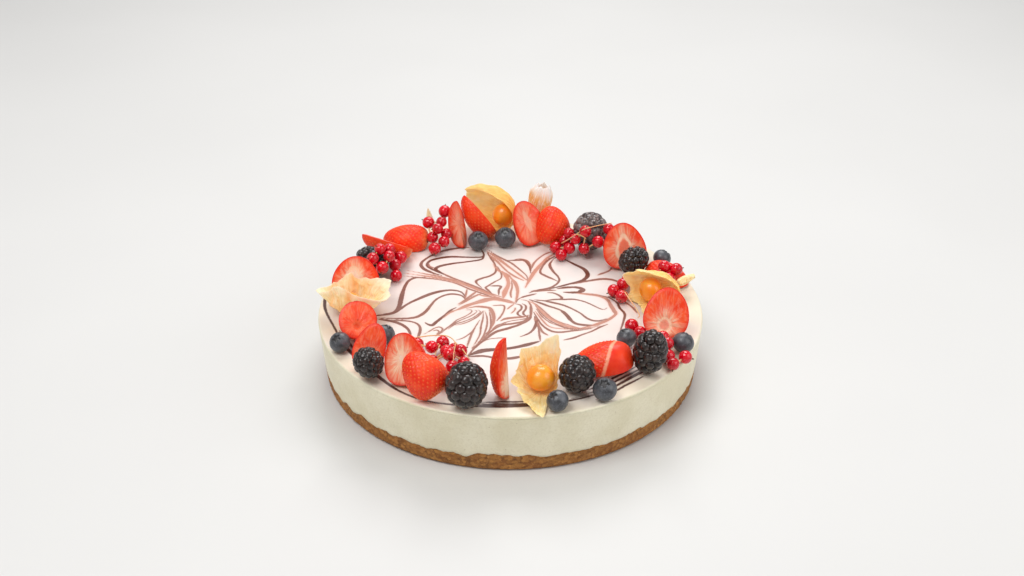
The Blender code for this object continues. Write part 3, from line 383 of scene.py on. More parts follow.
    (0.45, 1.1, (15.5, -14.5), (16, -19.5), (17, -24), (17.5, -27)),
    (0.15, 0.84, (15, -13.5), (16, -19.5), (15.5, -24), (14, -29), (11.5, -33), (8.5, -35.5),
     (6, -37)),
    (0.25, 0.6, (12.5, 0.5), (12.5, -6.5), (12, -14.5), (10, -19.5), (6, -23.5)),
    (0.2, 0.6, (6, 8.5), (9, 10.5), (12, 12), (16.5, 14)),
    (0.2, 0.72, (28.5, 7), (32, 7.5), (32.5, 9.5), (30.5, 12.5), (27.5, 15), (23.5, 15.5)),
    (0.1, 0.6, (-83.5, 28.5), (-83, 24.5)),
    (0.1, 0.72, (-81.5, 29.5), (-81, 25)),
    (0.1, 0.6, (-79.5, 30.5), (-79, 26.5)),
)

# Fine streaks of chocolate side by side, evenly spread from the first to the last one
STREAK_COUNT = 3
STREAK_PINKNESS = 0.6
STREAK_HALF_WIDTH = 0.55
STREAK_FIRST = (
    (-68, 44), (-58, 40.5), (-46, 36), (-34, 29.5), (-22, 22), (-12, 14), (-4, 9),
)
STREAK_LAST = (
    (-70, 37), (-60, 35), (-48, 32.5), (-36, 27.5), (-25, 19), (-13, 11), (-5, 6),
)

LINE_END = 0.25  # width at the ends as a share of the full width
LINE_TAPER = 0.18  # share of the run over which a line narrows to each end
LINE_MARGIN = 4
FAR_GAP = 9.0  # stands for no line near
LINES_RADIUS = 82.0  # within it the rows of the glaze lie closer together

# The ring of thick chocolate near the rim: turn in degrees and radius
CHOCOLATE_RING = (
    (0, 112), (40, 109), (90, 111), (140, 112), (170, 117), (180, 118.0), (195, 110),
    (212, 108.5), (228, 110.5), (241, 114.3), (249, 114.4), (262, 110), (272, 108), (290, 110),
    (309, 106), (330, 109), (360, 112),
)
RING_HALF_WIDTH = 1.1
RING_DRAWN = (165, 325)
# Loose strokes beside it: turn, reach to both sides, and shift outwards
LOOSE_STROKES = (
    (268, 14, -2.3), (268, 11, -4.5), (306, 18, -3.4), (306, 16, -6.6), (306, 12, 3.2),
    (205, 10, -3.5),
)
LOOSE_HALF_WIDTH = 0.9

# The camera: degrees above the level, distance in metres, and the place it looks at
CAMERA_LIFT = 30.2
CAMERA_DISTANCE = 0.8
CAMERA_TARGET = (0.94, 0, 51.83)
CAMERA_LENS = 45.05
SENSOR_WIDTH = 36.0

# Lights: name, place in metres, power and size
LIGHTS = (
    ("key", (-0.5, -0.45, 1.25), 9.9, 0.7),
    ("fill", (0.9, -0.4, 0.7), 4, 0.8),
    ("back", (0.1, 0.8, 1.15), 11, 0.8),
)
WORLD_STRENGTH = 0.43
FLOOR_REACH = 12.0  # metres


def linear(*values):
    """A colour for a shader from the 0 to 255 values of a screen."""
    shares = (value / 255 for value in values)
    curve = (s / 12.92 if s < 0.04045 else ((s + 0.055) / 1.055) ** 2.4 for s in shares)
    return (*curve, 1.0)


class Graph:
    """The shader nodes of one material."""

    def __init__(self, name, **settings):
        self.material = bpy.data.materials.new(name)
        self.material.use_nodes = True
        self.tree = self.material.node_tree
        self.shader = self.tree.nodes["Principled BSDF"]
        self.set(**settings)

    def set(self, **settings):
        """Feeds sockets of the shader, named with underscores for spaces."""
        for key, value in settings.items():
            self.feed(self.shader.inputs[key.replace("_", " ")], value)

    def feed(self, socket, value):
        if isinstance(value, bpy.types.NodeSocket):
            self.tree.links.new(value, socket)
        else:
            socket.default_value = value

    def add(self, kind, *values, named=(), **settings):
        """A node with its settings, its first sockets fed in order and some others by name."""
        node = self.tree.nodes.new("ShaderNode" + kind)
        for key, value in settings.items():
            setattr(node, key, value)
        for key, value in (*enumerate(values), *named):
            self.feed(node.inputs[key], value)
        return node

    def calc(self, operation, *values):
        return self.add("Math", *values, operation=operation).outputs[0]

    def plus(self, first, second):
        return self.calc("ADD", first, second)

    def times(self, first, second):
        return self.calc("MULTIPLY", first, second)

    def times_plus(self, value, factor, extra):
        return self.calc("MULTIPLY_ADD", value, factor, extra)

    def swing(self, noise_value, reach):
        """Noise as a value to both sides of 0."""
        return self.times(self.calc("SUBTRACT", noise_value, 0.5), reach)

    def vector(self, operation, *values):
        node = self.add("VectorMath", *values, operation=operation)
        return node.outputs["Value" if operation == "LENGTH" else "Vector"]

    def scaled(self, where, share):
        node = self.add("VectorMath", where, named=(("Scale", share),), operation="SCALE")
        return node.outputs["Vector"]

    def joined(self, *values):
        return self.add("CombineXYZ", *values).outputs[0]

    def split(self, where):
        return self.add("SeparateXYZ", where).outputs

    def band(self, value, low, high, first=0.0, last=1.0):
        """Goes smoothly from the first to the last value as the value goes from low to high."""
        node = self.add("MapRange", value, low, high, first, last, interpolation_type="SMOOTHSTEP")
        return node.outputs[0]

    def mix(self, share, first, last):
        node = self.add("Mix", share, named=((6, first), (7, last)), data_type="RGBA")
        return node.outputs[2]

    def tones(self, value, low, high, first, last):
        """From the first to the last colour as the value goes from low to high."""
        return self.mix(self.band(value, low, high), linear(*first), linear(*last))

    def tint(self, colour, value, low, high, other, first=0.0, last=1.0):
        """A colour with a share of another one, from the first to the last share."""
        return self.mix(self.band(value, low, high, first, last), colour, linear(*other))

    def mark(self, name="mark"):
        """A value kept at the points of the mesh."""
        return self.add("Attribute", attribute_name=name).outputs["Vector"]

    def place(self):
        """The place in the piece's own frame before it was turned, in millimetres."""
        return self.mark("place")

    def noise(self, where, scale, detail=2.0, roughness=0.5, output=0):
        named = (("Vector", where), ("Scale", scale), ("Detail", detail), ("Roughness", roughness))
        return self.add("TexNoise", named=named).outputs[output]

    def cells(self, where, scale, feature="F1"):
        named = (("Vector", where), ("Scale", scale))
        return self.add("TexVoronoi", named=named, feature=feature).outputs

    def done(self, colour, height=None, distance=0.0, strength=1.0):
        """The material with its colour, and relief from a height of 0 to 1, in millimetres."""
        self.set(Base_Color=colour)
        if height is not None:
            named = (("Height", height), ("Distance", distance * MM), ("Strength", strength))
            self.set(Normal=self.add("Bump", named=named).outputs[0])
        return self.material


def ivory(graph, where):
    """The colour of the filling: ivory, a little mottled, with rare brown specks."""
    cloud = graph.noise(where, 0.035, 4.0, 0.6)
    colour = graph.tones(cloud, 0.35, 0.65, (227, 219, 189), (238, 231, 205))
    fine = graph.noise(where, 0.8, 3.0, 0.7)
    colour = graph.tint(colour, fine, 0.42, 0.75, (205, 193, 158), 0.0, 0.35)
    return graph.tint(colour, graph.cells(where, 0.16)[0], 0.02, 0.055, (150, 120, 80), 0.65, 0.0)


def make_glaze_material():
    """Marked with the gap to the nearest chocolate line, its pinkness, and the gap to the ring."""
    graph = Graph(
        "glaze", Roughness=0.3, Subsurface_Weight=0.08, Subsurface_Scale=0.002,
        Subsurface_Radius=(1.0, 0.9, 0.8), Specular_IOR_Level=0.25,
    )
    where = graph.place()
    height = graph.split(where)[2]
    gap, pinkness, ring = graph.split(graph.mark())
    cloud = graph.noise(where, 0.03, 3.0)
    white = graph.tones(cloud, 0.35, 0.7, (225, 217, 212), (222, 210, 203))
    radius = graph.vector("LENGTH", graph.vector("MULTIPLY", where, (1, 1, 0)))
    outwards = graph.plus(radius, graph.swing(cloud, 60.0))
    cream = graph.tint(white, outwards, 90, 120, (230, 218, 196))
    cream = graph.mix(graph.band(height, 39.0, 39.45, 1.0, 0.0), cream, ivory(graph, where))
    fray = graph.swing(graph.noise(where, 0.5, 3.0, 0.6), 0.6)
    gap = graph.plus(gap, graph.calc("SUBTRACT", fray, 0.13))
    brown = graph.mix(pinkness, linear(102, 46, 25), linear(203, 142, 120))
    stain = graph.times(graph.times_plus(pinkness, 0.45, 0.1), graph.band(gap, 0.0, 1.4, 1.0, 0.0))
    colour = graph.mix(stain, cream, linear(220, 168, 150))
    blot = graph.band(graph.noise(where, 0.12, 2.0), 0.35, 0.7, 0.94, 1.0)
    colour = graph.mix(graph.times(graph.band(gap, -0.25, 0.25, 0.98, 0.0), blot), colour, brown)
    colour = graph.tint(colour, graph.plus(ring, fray), -0.4, 0.3, (70, 34, 26), 0.97, 0.0)
    return graph.done(colour, graph.noise(where, 0.25, 3.0), 0.15, 0.4)


def make_filling_material():
    graph = Graph(
        "filling", Roughness=0.5, Subsurface_Weight=0.12, Subsurface_Scale=0.002,
        Subsurface_Radius=(1.0, 0.9, 0.7),
    )
    where = graph.place()
    pits = graph.band(graph.cells(where, 0.35)[0], 0.05, 0.16)
    relief = graph.times_plus(graph.noise(where, 1.4, 4.0, 0.6), 0.3, pits)
    return graph.done(ivory(graph, where), relief, 0.25, 0.5)


def make_biscuit_material():
    graph = Graph("biscuit", Roughness=0.85)
    where = graph.place()
    gap, crumb = graph.cells(where, 0.5)[:2]
    colour = graph.mix(graph.split(crumb)[0], linear(128, 79, 32), linear(190, 131, 65))
    colour = graph.tint(colour, graph.noise(where, 0.12, 3.0), 0.4, 0.7, (150, 92, 42), 0.0, 0.6)
    fine = graph.noise(where, 1.6, 4.0, 0.7)
    colour = graph.tint(colour, fine, 0.5, 0.75, (206, 156, 96), 0.0, 0.6)
    colour = graph.tint(colour, gap, 0.55, 0.9, (88, 50, 22), 0.0, 0.5)
    return graph.done(colour, graph.times_plus(fine, 0.5, gap), 0.5, 0.6)


def make_skin_material(name, pared):
    """Red skin with paler dimples. A pared skin has a painted highlight along its edge and no
    dimples beyond it.
    """
    graph = Graph(
        name, Roughness=0.4, Subsurface_Weight=0.1, Subsurface_Scale=0.002,
        Subsurface_Radius=(1.0, 0.3, 0.1), Specular_IOR_Level=0.25,
        Coat_Weight=0.12, Coat_Roughness=0.15,
    )
    turn, along, dent = graph.split(graph.mark())
    where = graph.place()
    cloud = graph.noise(where, 0.09, 3.0)
    fine = graph.noise(where, 0.9, 3.0)
    colour = graph.tones(cloud, 0.35, 0.65, (232, 42, 14), (248, 74, 28))
    colour = graph.tint(colour, along, -1.0, -0.72, (248, 146, 82), 0.7, 0.0)
    colour = graph.tint(colour, dent, 0.1, 0.8, (250, 96, 40), 0.0, 0.4)
    if pared:
        edge = graph.times_plus(graph.plus(turn, math.pi), PARING_LEAN, PARING_START)
        beyond = graph.plus(graph.calc("SUBTRACT", edge, along), graph.swing(fine, 0.06))
        smooth_red = graph.tones(cloud, 0.3, 0.7, (228, 36, 12), (246, 70, 30))
        colour = graph.mix(graph.band(beyond, 0.0, 0.04), colour, smooth_red)
        # Painted highlight: a pale line along the paring edge, where the wet edge catches the
        # light.
        rim = graph.calc("ABSOLUTE", beyond)
        colour = graph.tint(colour, rim, 0.025, 0.085, (254, 170, 134), 0.85, 0.0)
    relief = graph.times_plus(fine, 0.6, graph.noise(where, 2.2, 2.0))
    return graph.done(colour, relief, 0.1, 0.4)


def make_seed_material():
    graph = Graph("seed", Roughness=0.55, Specular_IOR_Level=0.3)
    cloud = graph.noise(graph.place(), 0.5, 1.0)
    return graph.done(graph.tones(cloud, 0.35, 0.65, (236, 84, 38), (246, 118, 60)))


def make_flesh_material(name, pith, stretch, seed):
    """A cut face: a pith with a pale rim, and rays from it to the red edge."""
    middle_across, middle_along, reach, length_share, inner, rim, outer = pith
    graph = Graph(
        name, Roughness=0.36, Subsurface_Weight=0.12, Subsurface_Scale=0.002,
        Subsurface_Radius=(1.0, 0.35, 0.12), Specular_IOR_Level=0.25,
        Coat_Weight=0.15, Coat_Roughness=0.15,
    )
    across, along, edge = graph.split(graph.mark())
    where = graph.place()
    aside = graph.calc("SUBTRACT", across, middle_across)
    up = graph.calc("SUBTRACT", along, middle_along)
    aside = graph.times(aside, graph.times_plus(graph.calc("MAXIMUM", up, 0.0), PITH_TAPER, 1.0))
    spot = graph.joined(aside, graph.times(up, stretch / length_share), 0.0)
    far = graph.plus(graph.vector("LENGTH", spot), graph.swing(graph.noise(where, 0.22, 2.0), 0.16))
    spokes = graph.vector(
        "ADD", graph.scaled(graph.vector("NORMALIZE", spot), 2.0),
        graph.joined(0.0, 0.0, graph.times_plus(far, 0.55, seed * 3.7)),
    )
    broad = graph.band(graph.noise(spokes, 1.6, 2.0, 0.5), 0.42, 0.6)
    fine = graph.band(graph.noise(spokes, 4.6, 3.0, 0.6), 0.46, 0.58)
    rays = graph.times_plus(fine, 0.6, graph.times(broad, 0.45))
    red = graph.tones(graph.noise(where, 0.12, 3.0), 0.35, 0.65, (240, 60, 18), (251, 94, 42))
    glow = graph.band(far, 0.8 * reach, 1.05, outer, 0.0)
    pale = graph.times(glow, graph.times_plus(rays, 0.8, 0.28))
    ring = graph.calc("ABSOLUTE", graph.calc("SUBTRACT", far, reach))
    pale = graph.calc("MAXIMUM", pale, graph.band(ring, 0.03, 0.15, 0.85 * rim, 0.0))
    streaks = graph.times(fine, graph.band(far, reach, 1.15, 0.4 * outer + 0.1, 0.12))
    pale = graph.calc("MAXIMUM", pale, streaks)
    colour = graph.mix(graph.calc("MINIMUM", pale, 0.95), red, linear(254, 216, 182))
    core = graph.mix(inner, linear(240, 88, 48), linear(254, 224, 198))
    colour = graph.mix(graph.band(far, reach - 0.14, reach, 0.9, 0.0), colour, core)
    colour = graph.tint(colour, edge, 0.2, 2.6, (236, 44, 14), 0.7, 0.0)
    colour = graph.tint(colour, edge, 0.1, 0.7, (222, 28, 10), 0.9, 0.0)
    return graph.done(colour, graph.times_plus(rays, 0.7, graph.noise(where, 0.9, 3.0)), 0.3, 0.5)


def make_bramble_material(name, frost, dark, light):
    graph = Graph(
        name, Roughness=0.3, Subsurface_Weight=0.1, Subsurface_Scale=0.001,
        Specular_IOR_Level=0.25, Coat_Weight=0.5, Coat_Roughness=0.08,
    )
    where = graph.place()
    colour = graph.tones(graph.noise(where, 0.12, 2.0), 0.4, 0.65, dark, light)
    bloom = graph.noise(where, 0.5, 3.0, 0.6)
    colour = graph.tint(colour, bloom, 0.45, 0.7, (150, 134, 128), 0.0, frost)
    return graph.done(colour, graph.noise(where, 1.5, 2.0), 0.06, 0.3)


def make_blueberry_material():
    graph = Graph("blueberry", Roughness=0.45, Coat_Weight=0.25, Coat_Roughness=0.16)
    where = graph.place()
    cup = graph.split(graph.mark())[2]
    fine = graph.noise(where, 1.0, 3.0, 0.7)
    colour = graph.tones(graph.noise(where, 0.16, 4.0, 0.6), 0.32, 0.68, (40, 40, 43), (84, 86, 92))
    colour = graph.tint(colour, fine, 0.5, 0.75, (126, 128, 134), 0.0, 0.35)
    colour = graph.tint(colour, cup, 0.1, 0.9, (34, 30, 30), 0.0, 0.85)
    return graph.done(colour, fine, 0.06, 0.4)


def make_physalis_material():
    graph = Graph(
        "physalis", Roughness=0.3, Subsurface_Weight=0.35, Subsurface_Scale=0.003,
        Subsurface_Radius=(1.0, 0.5, 0.15), Coat_Weight=0.3, Coat_Roughness=0.14,
    )
    where = graph.place()
    colour = graph.tones(graph.noise(where, 0.1, 3.0), 0.35, 0.7, (246, 142, 22), (252, 168, 42))
    colour = graph.tint(colour, graph.cells(where, 0.55)[0], 0.08, 0.35, (236, 120, 16), 0.3, 0.0)
    return graph.done(colour, graph.noise(where, 0.6, 2.0), 0.05, 0.3)


def make_husk_material(name, first, others, tip, shine=0.0, lift=0.0, reach=30):
    """Dry papery skin: ribs, fibres along it, mottling and paler tips, with a painted glow where
    the berry shines through and a faint painted glow from the whole skin.
    """
    # Emission_Strength gives a painted glow: the husk shines faintly with its own colour.
    graph = Graph(
        name, Roughness=0.55, Subsurface_Weight=0.6, Subsurface_Scale=0.004,
        Subsurface_Radius=(1.0, 0.9, 0.75), Specular_IOR_Level=0.3, Emission_Strength=0.1,
    )
    where = graph.place()
    x, y, z = graph.split(where)
    far = graph.vector("LENGTH", where)
    turn = graph.calc("ARCTAN2", y, x)
    flat = graph.vector("LENGTH", graph.joined(x, y, 0.0))
    rib = graph.calc("ABSOLUTE", graph.calc("SINE", graph.times(turn, 5.0)))
    rib = graph.band(graph.times(rib, graph.times(flat, 0.2)), 0.03, 0.22, 1.0, 0.0)
    around = graph.joined(graph.calc("COSINE", turn), graph.calc("SINE", turn), 0.0)
    outward = graph.joined(0.0, 0.0, graph.times(far, 0.09))
    fibres = graph.noise(graph.vector("ADD", graph.scaled(around, 7.0), outward), 1.5, 4.0, 0.65)
    bent = graph.vector("ADD", where, graph.scaled(graph.noise(where, 0.25, output=1), 3.0))
    net = graph.cells(graph.vector("MULTIPLY", bent, (1, 1, 0.5)), 0.6, "DISTANCE_TO_EDGE")[0]
    strength = graph.band(graph.noise(where, 0.3, 2.0), 0.4, 0.65, 0.0, 0.5)
    veins = graph.calc("MAXIMUM", rib, graph.times(graph.band(net, 0.0, 0.1, 1.0, 0.0), strength))
    shade = [int(value * share) for value, share in zip(others, (0.9, 0.76, 0.5))]
    colour = graph.tones(x, -6, 5, others, first)
    colour = graph.tint(colour, graph.noise(where, 0.1, 4.0, 0.6), 0.46, 0.7, shade, 0.0, 0.55)
    colour = graph.tint(colour, fibres, 0.5, 0.66, shade, 0.0, 0.5)
    colour = graph.tint(colour, fibres, 0.5, 0.36, tip, 0.0, 0.5)
    start = 0.5 if shine or not lift else 0.7
    colour = graph.tint(colour, far, start * reach, 0.93 * reach, tip, 0.0, 0.85)
    # Painted glow: an orange tint where the berry inside shines through the husk.
    if shine:
        beside = graph.vector("LENGTH", graph.joined(x, y, graph.calc("SUBTRACT", z, lift)))
        beside = graph.plus(beside, graph.times(fibres, 6.0))
        colour = graph.tint(colour, beside, 9.5, 15.0, (238, 148, 44), 0.7 * shine, 0.0)
    pale = linear(*(min(255, int(value * 1.04 + 10)) for value in tip))
    colour = graph.mix(graph.times(veins, 0.35), colour, pale)
    streak = graph.split(graph.mark())[0]
    colour = graph.mix(graph.times(streak, 0.6), colour, linear(236, 138, 50))
    # Painted glow: the skin gives off a little light of its own colour, standing in for light that
    # passes through the thin husk.
    graph.set(Emission_Color=colour)
    relief = graph.times_plus(graph.noise(where, 0.7, 3.0), 0.6, fibres)
    return graph.done(colour, graph.times_plus(veins, 0.5, relief), 0.35, 0.7)


def make_currant_material():
    graph = Graph(
        "redcurrant", Roughness=0.14, Subsurface_Weight=0.6, Subsurface_Scale=0.004,
        Subsurface_Radius=(1.0, 0.08, 0.1), Specular_IOR_Level=0.3,
        Coat_Weight=0.6, Coat_Roughness=0.05,
    )
    x, y, z = graph.split(graph.mark())
    stripe = graph.calc("SINE", graph.times(graph.calc("ARCTAN2", y, x), 5.0))
    cloud = graph.noise(graph.place(), 0.15, 2.0)
    colour = graph.tones(cloud, 0.35, 0.65, (188, 0, 24), (216, 8, 34))
    colour = graph.tint(colour, graph.calc("ABSOLUTE", stripe), 0.0, 0.3, (230, 50, 60), 0.25, 0.0)
    return graph.done(graph.tint(colour, z, 0.86, 0.98, (226, 100, 84), 0.0, 0.4))


def make_stalk_material():
    graph = Graph("stalk", Roughness=0.5, Subsurface_Weight=0.2, Subsurface_Scale=0.001)
    where = graph.place()
    colour = graph.tones(graph.noise(where, 0.3, 3.0), 0.35, 0.65, (226, 186, 120), (232, 170, 130))
    return graph.done(colour, graph.noise(where, 1.2, 3.0), 0.1, 0.5)


def make_tuft_material():
    graph = Graph("tuft", Roughness=0.8)
    cloud = graph.noise(graph.place(), 0.8, 2.0)
    return graph.done(graph.mix(cloud, linear(60, 40, 28), linear(120, 84, 54)))


class Shape:
    """A mesh made of several simple surfaces, with marks kept at its points."""

    def __init__(self):
        self.points = []
        self.faces = []
        self.slots = []
        self.marks = []
        self.count = 0

    def add(self, points, faces, slot=0, marks=None):
        points = np.asarray(points, float)
        self.points.append(points)
        self.faces += [tuple(index + self.count for index in face) for face in faces]
        self.slots += [slot] * len(faces)
        self.marks.append(np.zeros_like(points) if marks is None else np.asarray(marks, float))
        self.count += len(points)

    def make(self, name, materials, matrix, node):
        """Makes the object, which rides on the cake and replaces a node.

        The turn goes into the mesh, so that the object's box fits closely. The points from
        before the turn are kept for the materials.
        """
        points = np.vstack(self.points)
        mesh = bpy.data.meshes.new(name)
        mesh.from_pydata((points @ np.array(matrix.to_3x3()).T * MM).tolist(), [], self.faces)
        for material in materials:
            mesh.materials.append(material)
        mesh.polygons.foreach_set("material_index", self.slots)
        for kept, values in (("mark", np.vstack(self.marks)), ("place", points)):
            layer = mesh.attributes.new(kept, "FLOAT_VECTOR", "POINT")
            layer.data.foreach_set("vector", values.ravel())
        mesh.shade_smooth()
        obj = bpy.data.objects.new(name, mesh)
        bpy.context.scene.collection.objects.link(obj)
        obj.location = matrix.to_translation()
        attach(obj, "root")
        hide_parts(node)


def grid_faces(rows, columns, closed=False, flip=False):
    """Faces of a grid of points, row by row. A closed grid joins its last column to its first."""
    faces = []
    for row in range(rows - 1):
        for column in range(columns if closed else columns - 1):
            after = (column + 1) % columns
            here, above = row * columns, (row + 1) * columns
            face = (here + column, here + after, above + after, above + column)
            faces.append(face[::-1] if flip else face)
    return faces


def ball_surface(rows, columns):
    """Points and faces of a unit ball, from -Z to +Z."""
    tilts = np.linspace(0, math.pi, rows + 1)[1:-1]
    turns = np.arange(columns) * math.tau / columns
    tilt, turn = np.meshgrid(tilts, turns, indexing="ij")
    ring = np.stack([np.sin(tilt) * np.cos(turn), np.sin(tilt) * np.sin(turn), -np.cos(tilt)], -1)
    points = np.vstack([ring.reshape(-1, 3), [(0, 0, -1), (0, 0, 1)]])
    faces = grid_faces(rows - 1, columns, closed=True)
    low = len(points) - 2
    last = (rows - 2) * columns
    for column in range(columns):
        after = (column + 1) % columns
        faces.append((low, after, column))
        faces.append((low + 1, last + column, last + after))
    return points, faces


def turned(first, second):
    """Rotation whose +Z is the first direction and whose +Y is as near the second as it can be."""
    up = Vector(first).normalized()
    ahead = Vector(second)
    ahead = (ahead - up * ahead.dot(up)).normalized()
    return Matrix((ahead.cross(up), ahead, up)).transposed().to_4x4()


def seated(node, rotation, points):
    """Matrix that turns points and puts the middle of their box at the middle of a node's."""
    low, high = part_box(node)
    spun = np.asarray(points) @ np.array(rotation.to_3x3()).T * MM
    middle = Vector(0.5 * (spun.min(axis=0) + spun.max(axis=0)))
    return Matrix.Translation((low + high) / 2 - middle) @ rotation


def rough(points, scale, amount, seed=0):
    """Smooth noise from -amount to amount at each point."""
    shift = Vector((seed * 7.3, seed * 3.1, seed * 5.7))
    return np.array([amount * noise.noise(Vector(point) * scale + shift) for point in points])


def bell(value, reach):
    """1 where the value is 0, falling to 0 well beyond the reach."""
    return np.exp(-((value / reach) ** 2))


def at(radius, turn, height=0.0):
    """The point at a radius, turn and height."""
    return radius * math.cos(turn), radius * math.sin(turn), height


def smooth_path(spots, steps):
    """Points on a smooth curve through all of the spots."""
    spots = np.asarray(spots, float)
    ends = np.vstack([2 * spots[0] - spots[1], spots, 2 * spots[-1] - spots[-2]])
    path = []
    for index in range(1, len(ends) - 2):
        a, b, c, d = ends[index - 1 : index + 3]
        square, cube = 2 * a - 5 * b + 4 * c - d, 3 * b - a - 3 * c + d
        for t in np.linspace(0, 1, steps, endpoint=False):
            path.append(0.5 * (2 * b + (c - a) * t + square * t**2 + cube * t**3))
    path.append(spots[-1])
    return np.array(path)


def wall_radius(height):
    return FOOT_RADIUS + (RIM_RADIUS - FOOT_RADIUS) * height / CAKE_HEIGHT


def base_edge(turn):
    """Height of the ragged line where the biscuit meets the filling.

    The waves and the hump are those of the solids. The lumps and crumbs are finer.
    """
    around = Vector(at(1.0, turn))
    coarse = noise.noise(around * 3.0 + Vector((5.0, 0.0, 0.0)))
    fine = noise.noise(around * 9.0)
    from_hump = math.remainder(turn - math.radians(HUMP_TURN), math.tau) / math.radians(HUMP_REACH)
    edge = BASE_THICKNESS + BASE_WAVE * (coarse + 0.6 * fine)
    edge += HUMP_RISE * math.exp(-(from_hump**2))
    lumps = noise.noise(around * 17.0 + Vector((0.0, 0.0, 8.0)))
    crumbs = noise.noise(around * 60.0 + Vector((0.0, 0.0, 3.0)))
    return edge + (LUMP_RISE * lumps + CRUMB_RISE * crumbs)


def lathe(profiles):
    """Points and faces turned from one profile for each column, closed on the axis at both ends."""
    columns = len(profiles)
    rows = len(profiles[0])
    points = []
    for row in range(rows):
        for column, profile in enumerate(profiles):
            radius, height = profile[row]
            points.append(at(radius, math.tau * column / columns, height))
    faces = grid_faces(rows, columns, closed=True)
    for row in (0, rows - 1):
        points.append((0.0, 0.0, profiles[0][row][1]))
        centre = len(points) - 1
        for column in range(columns):
            after = (column + 1) % columns
            face = (centre, row * columns + after, row * columns + column)
            faces.append(face if row == 0 else face[::-1])
    return np.array(points), faces


def line_field(places, lines):
    """Gap from each place to the edge of the nearest line, below 0 inside it, and its pinkness."""
    gaps = np.full(len(places), FAR_GAP)
    pinkness = np.zeros(len(places))
    for pink, half, path in lines:
        path = smooth_path(path, 10)
        run = np.concatenate([[0], np.cumsum(np.linalg.norm(np.diff(path, axis=0), axis=1))])
        low, high = path.min(axis=0) - LINE_MARGIN, path.max(axis=0) + LINE_MARGIN
        near = np.flatnonzero(((places > low) & (places < high)).all(axis=1))
        spots = places[near]
        best = np.full(len(near), np.inf)
        best_run = np.zeros(len(near))
        for start, end, begun, done in zip(path, path[1:], run, run[1:]):
            span = end - start
            share = np.clip((spots - start) @ span / max(span @ span, 1e-9), 0, 1)
            gap = np.linalg.norm(spots - start - share[:, None] * span, axis=1)
            closer = gap < best
            best = np.where(closer, gap, best)
            best_run = np.where(closer, begun + share * (done - begun), best_run)
        taper = np.minimum(1.0, np.minimum(best_run, run[-1] - best_run) / (LINE_TAPER * run[-1]))
        wave = 1 + 0.25 * np.sin(best_run / 6.5 + pink * 40 + half * 9)
        width = half * (LINE_END + (1 - LINE_END) * taper) * wave
        closer = best - width < gaps[near]
        gaps[near[closer]] = (best - width)[closer]
        pinkness[near[closer]] = pink
    return gaps, pinkness


def chocolate_marks(points):
    """The marks of the glaze: line gap, pinkness and ring gap."""
    lines = [(pink, half, path) for pink, half, *path in CHOCOLATE_LINES]
    first, last = np.array(STREAK_FIRST, float), np.array(STREAK_LAST, float)
    for number in range(STREAK_COUNT):
        tone = STREAK_PINKNESS + 0.25 * math.sin(number * 2.4)
        share = number / (STREAK_COUNT - 1)
        lines.append((min(tone, 0.9), STREAK_HALF_WIDTH, first + share * (last - first)))
    gaps, pinkness = line_field(points[:, :2], lines)
    turn = np.degrees(np.arctan2(points[:, 1], points[:, 0])) % 360
    radius = np.hypot(points[:, 0], points[:, 1])
    degrees = np.arange(-90, 451)
    course = np.interp(degrees, *zip(*CHOCOLATE_RING), period=360)
    kernel = bell(np.arange(-15, 16), 6.0)
    course = np.convolve(course, kernel / kernel.sum(), "same")
    middle = np.interp(turn, degrees, course) + 0.5 * np.sin(np.radians(turn) * 11)
    ring = np.abs(radius - middle) - RING_HALF_WIDTH * (1 + 0.3 * np.sin(np.radians(turn) * 7))
    first, last = RING_DRAWN
    ring += 3 * np.clip(np.maximum(first - turn, turn - last) / 6, 0, 1)
    for centre, reach, shift in LOOSE_STROKES:
        aside = np.abs((turn - centre + 180) % 360 - 180) / reach
        stroke = np.abs(radius - middle - shift - 1.5 * aside) - LOOSE_HALF_WIDTH * (1 - aside**2)
        ring = np.minimum(ring, np.where(aside < 1, stroke, FAR_GAP))
    return np.stack([gaps, pinkness, ring], -1)


def biscuit_profile(turn):
    edge = base_edge(turn)
    low = FOOT_BEVEL * 0.4
    profile = [(10.0, 0.0), (FOOT_RADIUS - FOOT_BEVEL, 0.0)]
    for row in range(BISCUIT_ROWS + 1):
        height = low + (edge - low) * row / BISCUIT_ROWS
        radius = wall_radius(height) - max(0.0, FOOT_BEVEL - height)
        place = Vector(at(radius, turn, height))
        crumb = abs(noise.noise(place * 0.55)) * 0.9 + 0.5 * abs(noise.noise(place * 1.3))
        profile.append((radius - crumb + 0.15, height))
    return profile + [(FOOT_RADIUS - 6.0, edge)]


def filling_profile(turn):
    """The wall of the filling, a little swollen and with a few small pits."""
    edge = base_edge(turn) - EDGE_GAP
    top = CAKE_HEIGHT - GLAZE_THICKNESS
    low = edge + 0.25
    profile = [(FOOT_RADIUS - 7.0, edge), (wall_radius(edge) - 0.5, edge)]
    for row in range(FILLING_ROWS + 1):
        height = low + (top + GLAZE_GAP - edge - 0.25) * row / FILLING_ROWS
        radius = wall_radius(height)
        place = Vector(at(radius, turn, height))
        swell = 0.25 * noise.noise(place * 0.04) + 0.06 * noise.noise(place * 0.35)
        pit = max(0.0, noise.noise(place * 0.8) - 0.45) * 1.4
        profile.append((radius + swell * min(1.0, (top - height) / 3 + 0.05) - pit, height))
    return profile + [(wall_radius(top) - 3.0, top + GLAZE_GAP)]


